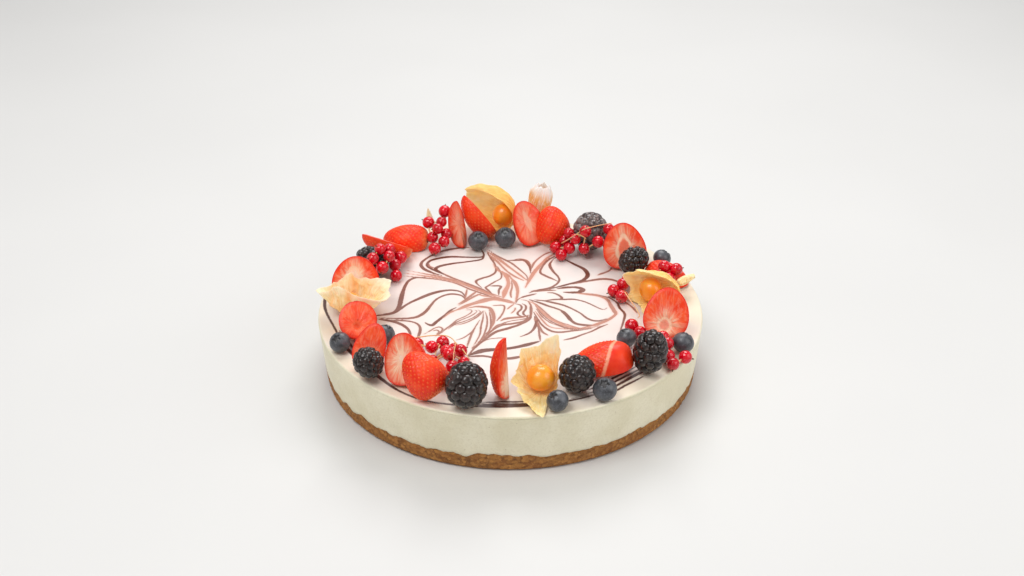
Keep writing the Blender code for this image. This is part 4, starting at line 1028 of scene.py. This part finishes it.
def glaze_profile(turn):
    """The rounded edge of the glaze, and its top with rows close enough for the fine lines."""
    low = CAKE_HEIGHT - GLAZE_THICKNESS + GLAZE_GAP * 0.9
    edge = CAKE_HEIGHT - low
    profile = [(RIM_RADIUS - 4.0, low)]
    for step in range(0, 91, 9):
        lean = math.radians(step)
        profile.append((RIM_RADIUS - edge * (1 - math.cos(lean)), low + edge * math.sin(lean)))
    outer = np.linspace(RIM_RADIUS - edge - 1.0, LINES_RADIUS, 34, endpoint=False)
    for radius in (*outer, *np.linspace(LINES_RADIUS, 1.0, 134)):
        dip = 0.12 * noise.noise(Vector(at(radius, turn)) * 0.05) - 0.06
        profile.append((radius, CAKE_HEIGHT + dip))
    return profile


def make_layers():
    layers = (
        ("biscuit_layer", make_biscuit_material(), "biscuit_base", "biscuit", biscuit_profile),
        ("filling_layer", make_filling_material(), "white_filling", "filling", filling_profile),
        ("glaze_layer", make_glaze_material(), "white_glaze", "glaze", glaze_profile),
    )
    for name, material, node, slot, profile in layers:
        turns = (math.tau * column / LAYER_COLUMNS for column in range(LAYER_COLUMNS))
        points, faces = lathe([profile(turn) for turn in turns])
        shape = Shape()
        shape.add(points, faces, 0, chocolate_marks(points) if slot == "glaze" else None)
        shape.make(name, [material], Matrix(), node)


def profile_radius(share, width):
    swell = np.maximum(0.0, np.sin(math.pi * share**0.8)) ** 0.8
    return 0.5 * width * swell * (1 - TIP_TAPER * share**TAPER_POWER)


def berry_profile(share, length, width):
    """Radius and height of a whole strawberry at a share of its way from stalk end to tip."""
    share = np.asarray(share, float)
    return profile_radius(share, width), -0.5 * length * np.cos(math.pi * share**0.94)


def uneven(share, turn, seed):
    """How much wider or narrower a strawberry is here than the even form."""
    share, turn = np.broadcast_arrays(np.asarray(share, float), np.asarray(turn, float))
    spots = zip(share.ravel().tolist(), np.cos(turn).ravel().tolist())
    values = [noise.noise(Vector((2.6 * s, 1.4 * c, 3.1 * seed))) for s, c in spots]
    return 1 + UNEVENNESS * (2 * np.array(values).reshape(share.shape) - 0.4)


def seed_places(length, width, first, last, seed):
    """Seeds on a spiral, evenly spread over the skin: their share and turn."""
    shares = np.linspace(0, 1, 400)
    radius, height = berry_profile(shares, length, width)
    area = np.cumsum(radius * np.hypot(np.gradient(radius), np.gradient(height))) * math.tau
    count = int(area[-1] / SEED_AREA)
    golden = math.pi * (3 - math.sqrt(5))
    for number in range(count):
        share = np.interp(area[-1] * (number + 0.5) / count, area, shares)
        turn = first + (number * golden + seed) % math.tau
        margin = 0.8 / max(np.interp(share, shares, radius), 1.0)
        if 0.06 < share < 0.97 and first + margin < turn < last - margin:
            yield share, turn


def is_pared(height_share, turn):
    return height_share < PARING_START + PARING_LEAN * (turn + math.pi) + 0.05


def skin_surface(shape, length, width, first, last, low=0.0, high=1.0, seed=0, pared=False):
    """The skin between two turns, with a dimple and a seed at each seed's place."""
    columns = max(26, int(SKIN_ROWS * (last - first) / math.pi))
    spread = 0.5 - 0.5 * np.cos(np.linspace(0, math.pi, SKIN_ROWS))
    shares = low + (high - low) * (0.35 * spread + 0.65 * np.linspace(0, 1, SKIN_ROWS))
    share, turn = np.meshgrid(shares, np.linspace(first, last, columns), indexing="ij")
    radius, height = berry_profile(share, length, width)
    radius = radius * uneven(share, turn, seed)
    points = np.stack([radius * np.cos(turn), radius * np.sin(turn), height], -1).reshape(-1, 3)
    away = points / np.maximum(np.linalg.norm(points, axis=1, keepdims=True), 1e-6)
    inner = np.minimum(1.0, 4.0 * np.minimum(turn - first, last - turn)).ravel()
    if last - first > math.tau - 0.01:
        inner = np.ones(len(points))
    dent = np.zeros(len(points))
    pip, pip_faces = ball_surface(4, 6)
    for item_share, item_turn in seed_places(length, width, first, last, seed):
        pair = (item_share, min(1.0, item_share + 0.01))
        r, after_r = profile_radius(np.array(pair), width) * uneven(pair, item_turn, seed)
        z, after_z = berry_profile(pair, length, width)[1]
        if not low < item_share < high or (pared and is_pared(z / (0.5 * length), item_turn)):
            continue
        around = np.array(at(1.0, item_turn))
        spot = r * around + np.array((0.0, 0.0, z))
        dent = np.maximum(dent, bell(np.linalg.norm(points - spot, axis=1), DIMPLE_REACH))
        up = Vector((after_r - r) * around + np.array((0.0, 0.0, after_z - z))).normalized()
        side = Vector((-math.sin(item_turn), math.cos(item_turn), 0))
        out = side.cross(up)
        axes = np.array([axis * size for axis, size in zip((side, up, out), SEED_SIZE)])
        shape.add(pip @ axes + np.array(Vector(spot) - out * SEED_DEPTH), pip_faces, 1)
    lumps = rough(points, 0.09, 0.4, seed) * inner
    moved = points + away * (lumps - DIMPLE_DEPTH * dent * inner)[:, None]
    marks = np.stack([turn.ravel(), height.ravel() / (0.5 * length), dent], -1)
    shape.add(moved, grid_faces(SKIN_ROWS, columns), 0, marks)


def edge_gap(points, outline):
    """Distance from each point to the nearest point of an outline."""
    gaps = np.full(len(points), np.inf)
    for spot in outline:
        gaps = np.minimum(gaps, np.linalg.norm(points - spot, axis=1))
    return gaps


def flesh_rays(dx, dy, seed):
    """Noise that runs outwards from the pith."""
    around = np.arctan2(dy, dx)
    return np.array([noise.noise(Vector((3 * math.cos(a), 3 * math.sin(a), seed))) for a in around])


def cut_surface(shape, length, width, turn, side_sign, full, pith, hollow, seed):
    """A flat cut through the axis at a turn. A full cut goes on to the far side."""
    columns = 48 if full else 28
    across = np.linspace(-1 if full else 0, 1, columns)
    share, side = np.meshgrid(np.linspace(0, 1, CUT_ROWS), across, indexing="ij")
    radius, height = berry_profile(share, length, width)
    near, beyond = uneven(share, turn, seed), uneven(share, -math.pi, seed)
    flat = radius * side * np.where(side >= 0, near, beyond)
    plane = np.stack([flat, height], -1).reshape(-1, 2)
    fine = np.linspace(0, 1, 200)
    radii, heights = berry_profile(fine, length, width)
    outline = np.vstack([
        np.stack([radii * uneven(fine, turn, seed), heights], 1),
        np.stack([-radii * uneven(fine, -math.pi, seed), heights], 1),
    ])
    edge = edge_gap(plane, outline)
    marks = np.stack([(flat / (0.5 * width)).ravel(), (height / (0.5 * length)).ravel(), edge], -1)
    dx = marks[:, 0] - pith[0]
    dy = (marks[:, 1] - pith[1]) * length / width
    gap = np.hypot(dx, dy / pith[3])
    inset = np.minimum(1.0, edge / 2.0)
    if not full:
        inset = inset * np.minimum(1.0, np.abs(side).ravel() * 5)
    rise = 0.4 * inset - 2.2 * hollow * inset * bell(gap, 0.22)
    rise -= 0.35 * inset * bell(gap - pith[2], 0.1)
    rise += 0.25 * flesh_rays(dx, dy, seed) * inset * np.minimum(1.0, gap * 3)
    along = np.array([math.cos(turn), math.sin(turn), 0])
    out = side_sign * np.array([-math.sin(turn), math.cos(turn), 0])
    points = plane[:, :1] * along + plane[:, 1:] * np.array([0, 0, 1.0]) + rise[:, None] * out
    flip = np.dot(np.cross(along, (0, 0, 1.0)), out) < 0
    shape.add(points, grid_faces(CUT_ROWS, columns, flip=flip), 2, marks)


def round_surface(shape, length, width, height, up, pith, hollow, seed):
    """The flat cut across at a height."""
    shares = np.linspace(0, 1, 2000)
    share = float(np.interp(height, berry_profile(shares, length, width)[1], shares))
    rows = 30
    columns = 96
    turns = np.arange(columns) * math.tau / columns
    rims = profile_radius(np.array(share), width) * uneven(share, turns, seed)
    reach, turn = np.meshgrid(np.linspace(0.02, 1, rows), turns, indexing="ij")
    rim = np.broadcast_to(rims, reach.shape)
    flat = np.stack([rim * reach * np.cos(turn), rim * reach * np.sin(turn)], -1).reshape(-1, 2)
    edge = (rim * (1 - reach)).ravel()
    marks = np.column_stack([flat / rims.mean(), edge])
    dx, dy = marks[:, 0] - pith[0], marks[:, 1] - pith[1]
    inset = np.minimum(1.0, edge / 2.0)
    rise = 0.35 * inset - 2.4 * hollow * bell(np.hypot(dx, dy), 0.2)
    rise += 0.3 * flesh_rays(dx, dy, seed) * inset
    faces = grid_faces(rows, columns, closed=True, flip=up < 0)
    faces.append(tuple(range(columns))[::-1] if up < 0 else tuple(range(columns)))
    shape.add(np.column_stack([flat, height + up * rise]), faces, 2, marks)


def make_strawberries():
    skins = [make_skin_material("strawberry_skin" + end, bool(end)) for end in ("", "_pared")]
    seeds = make_seed_material()
    for number, (name, length, width, keep, tip, face, pith, hollow) in enumerate(STRAWBERRIES):
        shape = Shape()
        node = "strawberry_" + name
        pared = name == PARED_STRAWBERRY
        stretch = length / width
        if keep == 0:
            shares = np.linspace(0, 1, 4000)
            heights = berry_profile(shares, length, width)[1]
            low, high = (float(np.interp(end, heights, shares)) for end in (-ROUND_THICKNESS, 0.0))
            skin_surface(shape, length, width, -math.pi, math.pi, low, high, number)
            round_surface(shape, length, width, 0.0, 1, pith, hollow, number)
            round_surface(shape, length, width, -ROUND_THICKNESS, -1, pith, 0.0, number)
            stretch = 1.0
        else:
            last = -math.pi + math.radians(keep)
            skin_surface(shape, length, width, -math.pi, last, seed=number, pared=pared)
            cuts = ((0.0, 1),) if keep == 180 else ((-math.pi, -1), (last, 1))
            for turn, side_sign in cuts:
                full = keep == 180
                cut_surface(shape, length, width, turn, side_sign, full, pith, hollow, number)
        flesh = make_flesh_material("flesh_" + name, pith, stretch, number)
        matrix = seated(node, turned(tip, face), np.vstack(shape.points))
        shape.make(node + "_piece", [skins[pared], seeds, flesh], matrix, node)


def make_brambles():
    rng = random.Random(3)
    dark = make_bramble_material("bramble_dark", 0.15, (24, 15, 14), (42, 28, 25))
    frosted = make_bramble_material("bramble_frosted", 0.9, (66, 54, 54), (110, 98, 96))
    tuft = make_tuft_material()
    ball, ball_faces = ball_surface(12, 14)
    dimpled = ball * (1 - 0.13 * bell(np.arccos(np.clip(ball[:, 2], -1, 1)), 0.42))[:, None]
    core, core_faces = ball_surface(12, 20)
    hair, hair_faces = ball_surface(4, 5)
    for name, length, width, tip in BRAMBLES:
        shape = Shape()
        shape.add(core * np.array((0.4 * width, 0.4 * width, 0.42 * length)), core_faces)
        hairs = []
        for row, count in enumerate(DRUPELET_ROWS):
            tilt = math.pi * row / (len(DRUPELET_ROWS) - 1)
            for step in range(count):
                turn = math.tau * (step + 0.5 * (row % 2) + rng.uniform(-0.13, 0.13)) / count
                lean = tilt + rng.uniform(-0.04, 0.04)
                out = Vector(at(math.sin(lean), turn, math.cos(lean)))
                own = DRUPELET_SIZE * width * rng.uniform(0.88, 1.1)
                reach = np.array((0.5 * width - own, 0.5 * width - own, 0.5 * length - own))
                spot = np.array(out) * reach
                spin = np.array(turned(out, out.orthogonal()).to_3x3())
                shape.add(dimpled @ spin.T * own + spot, ball_faces)
                if rng.random() < HAIR_CHANCE:
                    bend = Vector([rng.uniform(-1, 1) for _ in range(3)]) * 0.6
                    line = (out + bend).normalized()
                    side = line.orthogonal().normalized()
                    basis = np.array([side * 0.06, line.cross(side) * 0.06, line * 0.7])
                    points = hair @ basis + spot + np.array(out) * own * 0.9
                    hairs.append(points + np.array(line) * 0.3)
        node = "bramble_" + name
        matrix = seated(node, turned(tip, (1, 0, 0)), np.vstack(shape.points))
        for points in hairs:
            shape.add(points, hair_faces, 1)
        material = frosted if name == FROSTED_BRAMBLE else dark
        shape.make(node + "_piece", [material, tuft], matrix, node)


def make_round_berries():
    ball, ball_faces = ball_surface(36, 50)
    tilt = np.arccos(np.clip(ball[:, 2], -1, 1))
    turn = np.arctan2(ball[:, 1], ball[:, 0])
    beyond_star = np.degrees(tilt) - (CROWN_TILT + 5 * np.cos(5 * turn))
    cup = 1 / (1 + np.exp(beyond_star / 1.4))
    crown = -0.2 * cup + 0.07 * bell(beyond_star - 2.5, 3.0)
    material = make_blueberry_material()
    for name, diameter, tip in BLUEBERRIES:
        radius = 0.5 * diameter
        points = ball * np.array((radius, radius, radius * BERRY_FLATNESS))
        points[:, 2] += radius * crown
        points += rough(points, 0.16, 0.12, diameter)[:, None] * ball
        shape = Shape()
        shape.add(points, ball_faces, 0, np.stack([ball[:, 0], ball[:, 1], cup], -1))
        node = "blueberry_" + name
        matrix = seated(node, turned(tip, (1, 0, 0)), points)
        shape.make(node + "_piece", [material], matrix, node)
    material = make_physalis_material()
    for name, diameter, _, axis, lean, *_ in PHYSALIS:
        if not diameter:
            continue
        points = ball * np.array((0.5, 0.5, 0.5 * BERRY_FLATNESS)) * diameter
        points[:, 2] -= 0.5 * bell(tilt, 0.12)
        points += rough(points, 0.1, 0.15, diameter)[:, None] * ball
        shape = Shape()
        shape.add(points, ball_faces, 0, ball)
        node = f"physalis_{name}_berry"
        matrix = seated(node, turned(axis, lean), points)
        shape.make(node + "_piece", [material], matrix, node)


def subdivided_copy(node, levels):
    """The welded and subdivided mesh of a node, as points in millimetres and faces."""
    work = bmesh.new()
    work.from_mesh(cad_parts[node].data)
    bmesh.ops.remove_doubles(work, verts=work.verts, dist=1e-5)
    mesh = bpy.data.meshes.new(node + "_fine")
    work.to_mesh(mesh)
    work.free()
    obj = bpy.data.objects.new(node + "_fine", mesh)
    bpy.context.scene.collection.objects.link(obj)
    subdivision = obj.modifiers.new("fine", "SUBSURF")
    subdivision.levels = subdivision.render_levels = levels
    evaluated = obj.evaluated_get(bpy.context.evaluated_depsgraph_get())
    fine = bpy.data.meshes.new_from_object(evaluated)
    points = np.array([vert.co for vert in fine.vertices]) / MM
    faces = [tuple(face.vertices) for face in fine.polygons]
    bpy.data.objects.remove(obj)
    bpy.data.meshes.remove(fine)
    return points, faces


def make_husks():
    for number, (name, diameter, lift, axis, lean, bulb, *colours, shine) in enumerate(PHYSALIS):
        node = f"physalis_{name}_husk"
        if diameter:
            low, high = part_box(f"physalis_{name}_berry")
            middle = (low + high) / 2
        else:
            middle = Vector(bulb) * MM
        start = middle - Vector(axis).normalized() * lift * MM
        quarter = Matrix.Rotation(math.pi / 2, 4, "Z")
        matrix = Matrix.Translation(start) @ turned(axis, lean) @ quarter
        points, faces = subdivided_copy(node, 3 if diameter else 2)
        local = (points - np.array(start) / MM) @ np.array(matrix.to_3x3())
        out = local - (0.0, 0.0, lift)
        out = out / np.maximum(np.linalg.norm(out, axis=1, keepdims=True), 1e-6)
        turn = np.arctan2(local[:, 1], local[:, 0])
        flat = np.hypot(local[:, 0], local[:, 1])
        length = np.linalg.norm(local, axis=1)
        pleats, fine, folds = CRUMPLED if name in CRUMPLED_HUSKS else SMOOTHER
        rib = bell(np.abs(np.sin(5 * turn)) * flat / 5, 0.35) * np.minimum(1.0, flat / 4)
        wave = np.stack([7 * np.cos(turn), 7 * np.sin(turn), 0.09 * length], -1)
        pleat = rough(wave, 0.7, pleats, number + 5)
        crinkle = rough(local, 0.16, 0.9, number) + rough(local, 0.42, fine, number + 9) + pleat
        crinkle += folds * (0.35 - np.abs(rough(local, 0.12, 1.0, number + 20)))
        lift_by = np.minimum(1.0, length / 16) * (crinkle + 0.2) + 0.3 * rib
        local = local + out * lift_by[:, None]
        if not diameter:
            near_tip = np.clip((local[:, 2] - FAR_HUSK_BLUNT) / 8.0, 0.0, 1.0)
            local[:, :2] *= (1 + 0.2 * near_tip)[:, None]
        reach = float(np.linalg.norm(local, axis=1).max())
        marks = np.zeros_like(local)
        if name == "left":
            for strength, spot, width in ORANGE_STREAKS:
                marks[:, 0] += strength * bell(points[:, 0] - spot, width)
        shape = Shape()
        shape.add(local, faces, 0, marks)
        material = make_husk_material("husk_" + name, *colours, shine, lift, reach)
        shape.make(node + "_piece", [material], matrix, node)


def make_husk_ends():
    """The end of a petal behind the currants, and the stalk of the right husk."""
    for node, name, *colours in HUSK_ENDS:
        points, faces = subdivided_copy(node, 3)
        low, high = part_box(node)
        base = np.array((low + high) / 2 / MM)
        if node == "husk_leaf_tip":
            base[2] = low.z / MM
            local = points - base
            local[:, 1] += rough(local, 0.2, 0.6, 4)
        else:
            local = points - base
            lengthwise = np.array(STALK_LEAN) / np.linalg.norm(STALK_LEAN)
            along = local @ lengthwise
            aside = local - along[:, None] * lengthwise
            spin = np.arctan2(aside[:, 2], aside[:, 0]) * 4 + along * 0.5
            local = local + aside * (0.12 * np.sin(spin))[:, None]
        shape = Shape()
        shape.add(local, faces)
        material = make_husk_material(name, *colours)
        shape.make(node + "_piece", [material], Matrix.Translation(Vector(base) * MM), node)


def tube(shape, path, radii, slot, sides=8):
    """A round tube along a path."""
    path = np.asarray(path, float)
    rings = []
    for index, spot in enumerate(path):
        ahead = Vector(path[min(index + 1, len(path) - 1)] - path[max(index - 1, 0)]).normalized()
        side = ahead.cross(Vector((0.31, 0.17, 0.93))).normalized()
        up = side.cross(ahead)
        for step in range(sides):
            turn = math.tau * step / sides
            out = np.array(side) * math.cos(turn) + np.array(up) * math.sin(turn)
            rings.append(spot + radii[index] * out)
    faces = grid_faces(len(path), sides, closed=True)
    faces.append(tuple(range(sides))[::-1])
    faces.append(tuple(range((len(path) - 1) * sides, len(path) * sides)))
    shape.add(rings, faces, slot)


def make_currants():
    materials = [make_currant_material(), make_stalk_material(), make_tuft_material()]
    rng = random.Random(11)
    ball, ball_faces = ball_surface(22, 30)
    for node, berries in CURRANTS:
        shape = Shape()
        spots = np.array([berry[:3] for berry in berries])
        middle = spots.mean(axis=0)
        for spot, (*_, radius) in zip(spots, berries):
            shake = Vector((rng.uniform(-3, 3), rng.uniform(-3, 3), rng.uniform(-3, 1)))
            away = Vector(spot - middle) + shake
            rotation = np.array(turned(away.normalized(), away.orthogonal()).to_3x3())
            shape.add(ball * radius @ rotation.T + spot, ball_faces, 0, ball)
            tip = spot + rotation[:, 2] * radius
            for step in range(TUFT_HAIRS):
                turn = math.tau * step / TUFT_HAIRS
                side = rotation[:, 0] * math.cos(turn) + rotation[:, 1] * math.sin(turn)
                path = [tip + rotation[:, 2] * rise + side * aside for rise, aside in TUFT_PATH]
                tube(shape, path, TUFT_RADII, 2, 5)
        if len(berries) > 1:
            path = smooth_path(spots, 6)
            tube(shape, path, [STALK_RADIUS] * len(path), 1)
        for owner, places in FINE_STALKS:
            if owner == node:
                path = smooth_path(places, 5)
                tube(shape, path, np.linspace(*FINE_STALK_RADII, len(path)), 1)
        shape.make(node + "_piece", materials, Matrix(), node)


def make_stage():
    signs = ((-1, -1), (1, -1), (1, 1), (-1, 1))
    corners = [(x * FLOOR_REACH, y * FLOOR_REACH, 0) for x, y in signs]
    mesh = bpy.data.meshes.new("floor")
    mesh.from_pydata(corners, [], [(0, 1, 2, 3)])
    graph = Graph("floor", Roughness=0.6)
    where = graph.scaled(graph.add("TexCoord").outputs["Object"], 1 / MM)
    tone = graph.noise(where, 0.004, 2.0)
    mesh.materials.append(graph.done(graph.mix(tone, linear(207, 206, 204), linear(215, 214, 212))))
    floor = bpy.data.objects.new("floor", mesh)
    bpy.context.scene.collection.objects.link(floor)

    world = bpy.data.worlds.new("studio")
    world.use_nodes = True
    background = world.node_tree.nodes["Background"]
    background.inputs["Color"].default_value = (1.0, 1.0, 1.0, 1.0)
    background.inputs["Strength"].default_value = WORLD_STRENGTH
    bpy.context.scene.world = world
    for name, spot, power, size in LIGHTS:
        data = bpy.data.lights.new(name, "AREA")
        data.energy = power
        data.size = size
        aim(bpy.data.objects.new(name, data), Vector(spot), Vector(spot))


def aim(obj, spot, back):
    """Puts a light or camera at a spot, with its back to a direction."""
    obj.location = spot
    obj.rotation_mode = "QUATERNION"
    obj.rotation_quaternion = (-back).to_track_quat("-Z", "Y")
    bpy.context.scene.collection.objects.link(obj)


def make_camera():
    data = bpy.data.cameras.new("camera")
    data.sensor_width = SENSOR_WIDTH
    data.lens = CAMERA_LENS
    camera = bpy.data.objects.new("camera", data)
    lift = math.radians(CAMERA_LIFT)
    back = Vector((0, -math.cos(lift), math.sin(lift)))
    aim(camera, Vector(CAMERA_TARGET) * MM + back * CAMERA_DISTANCE, back)
    bpy.context.scene.camera = camera
    bpy.context.scene.view_settings.view_transform = "Standard"


make_camera()
make_stage()
make_layers()
make_strawberries()
make_brambles()
make_round_berries()
make_husks()
make_husk_ends()
make_currants()
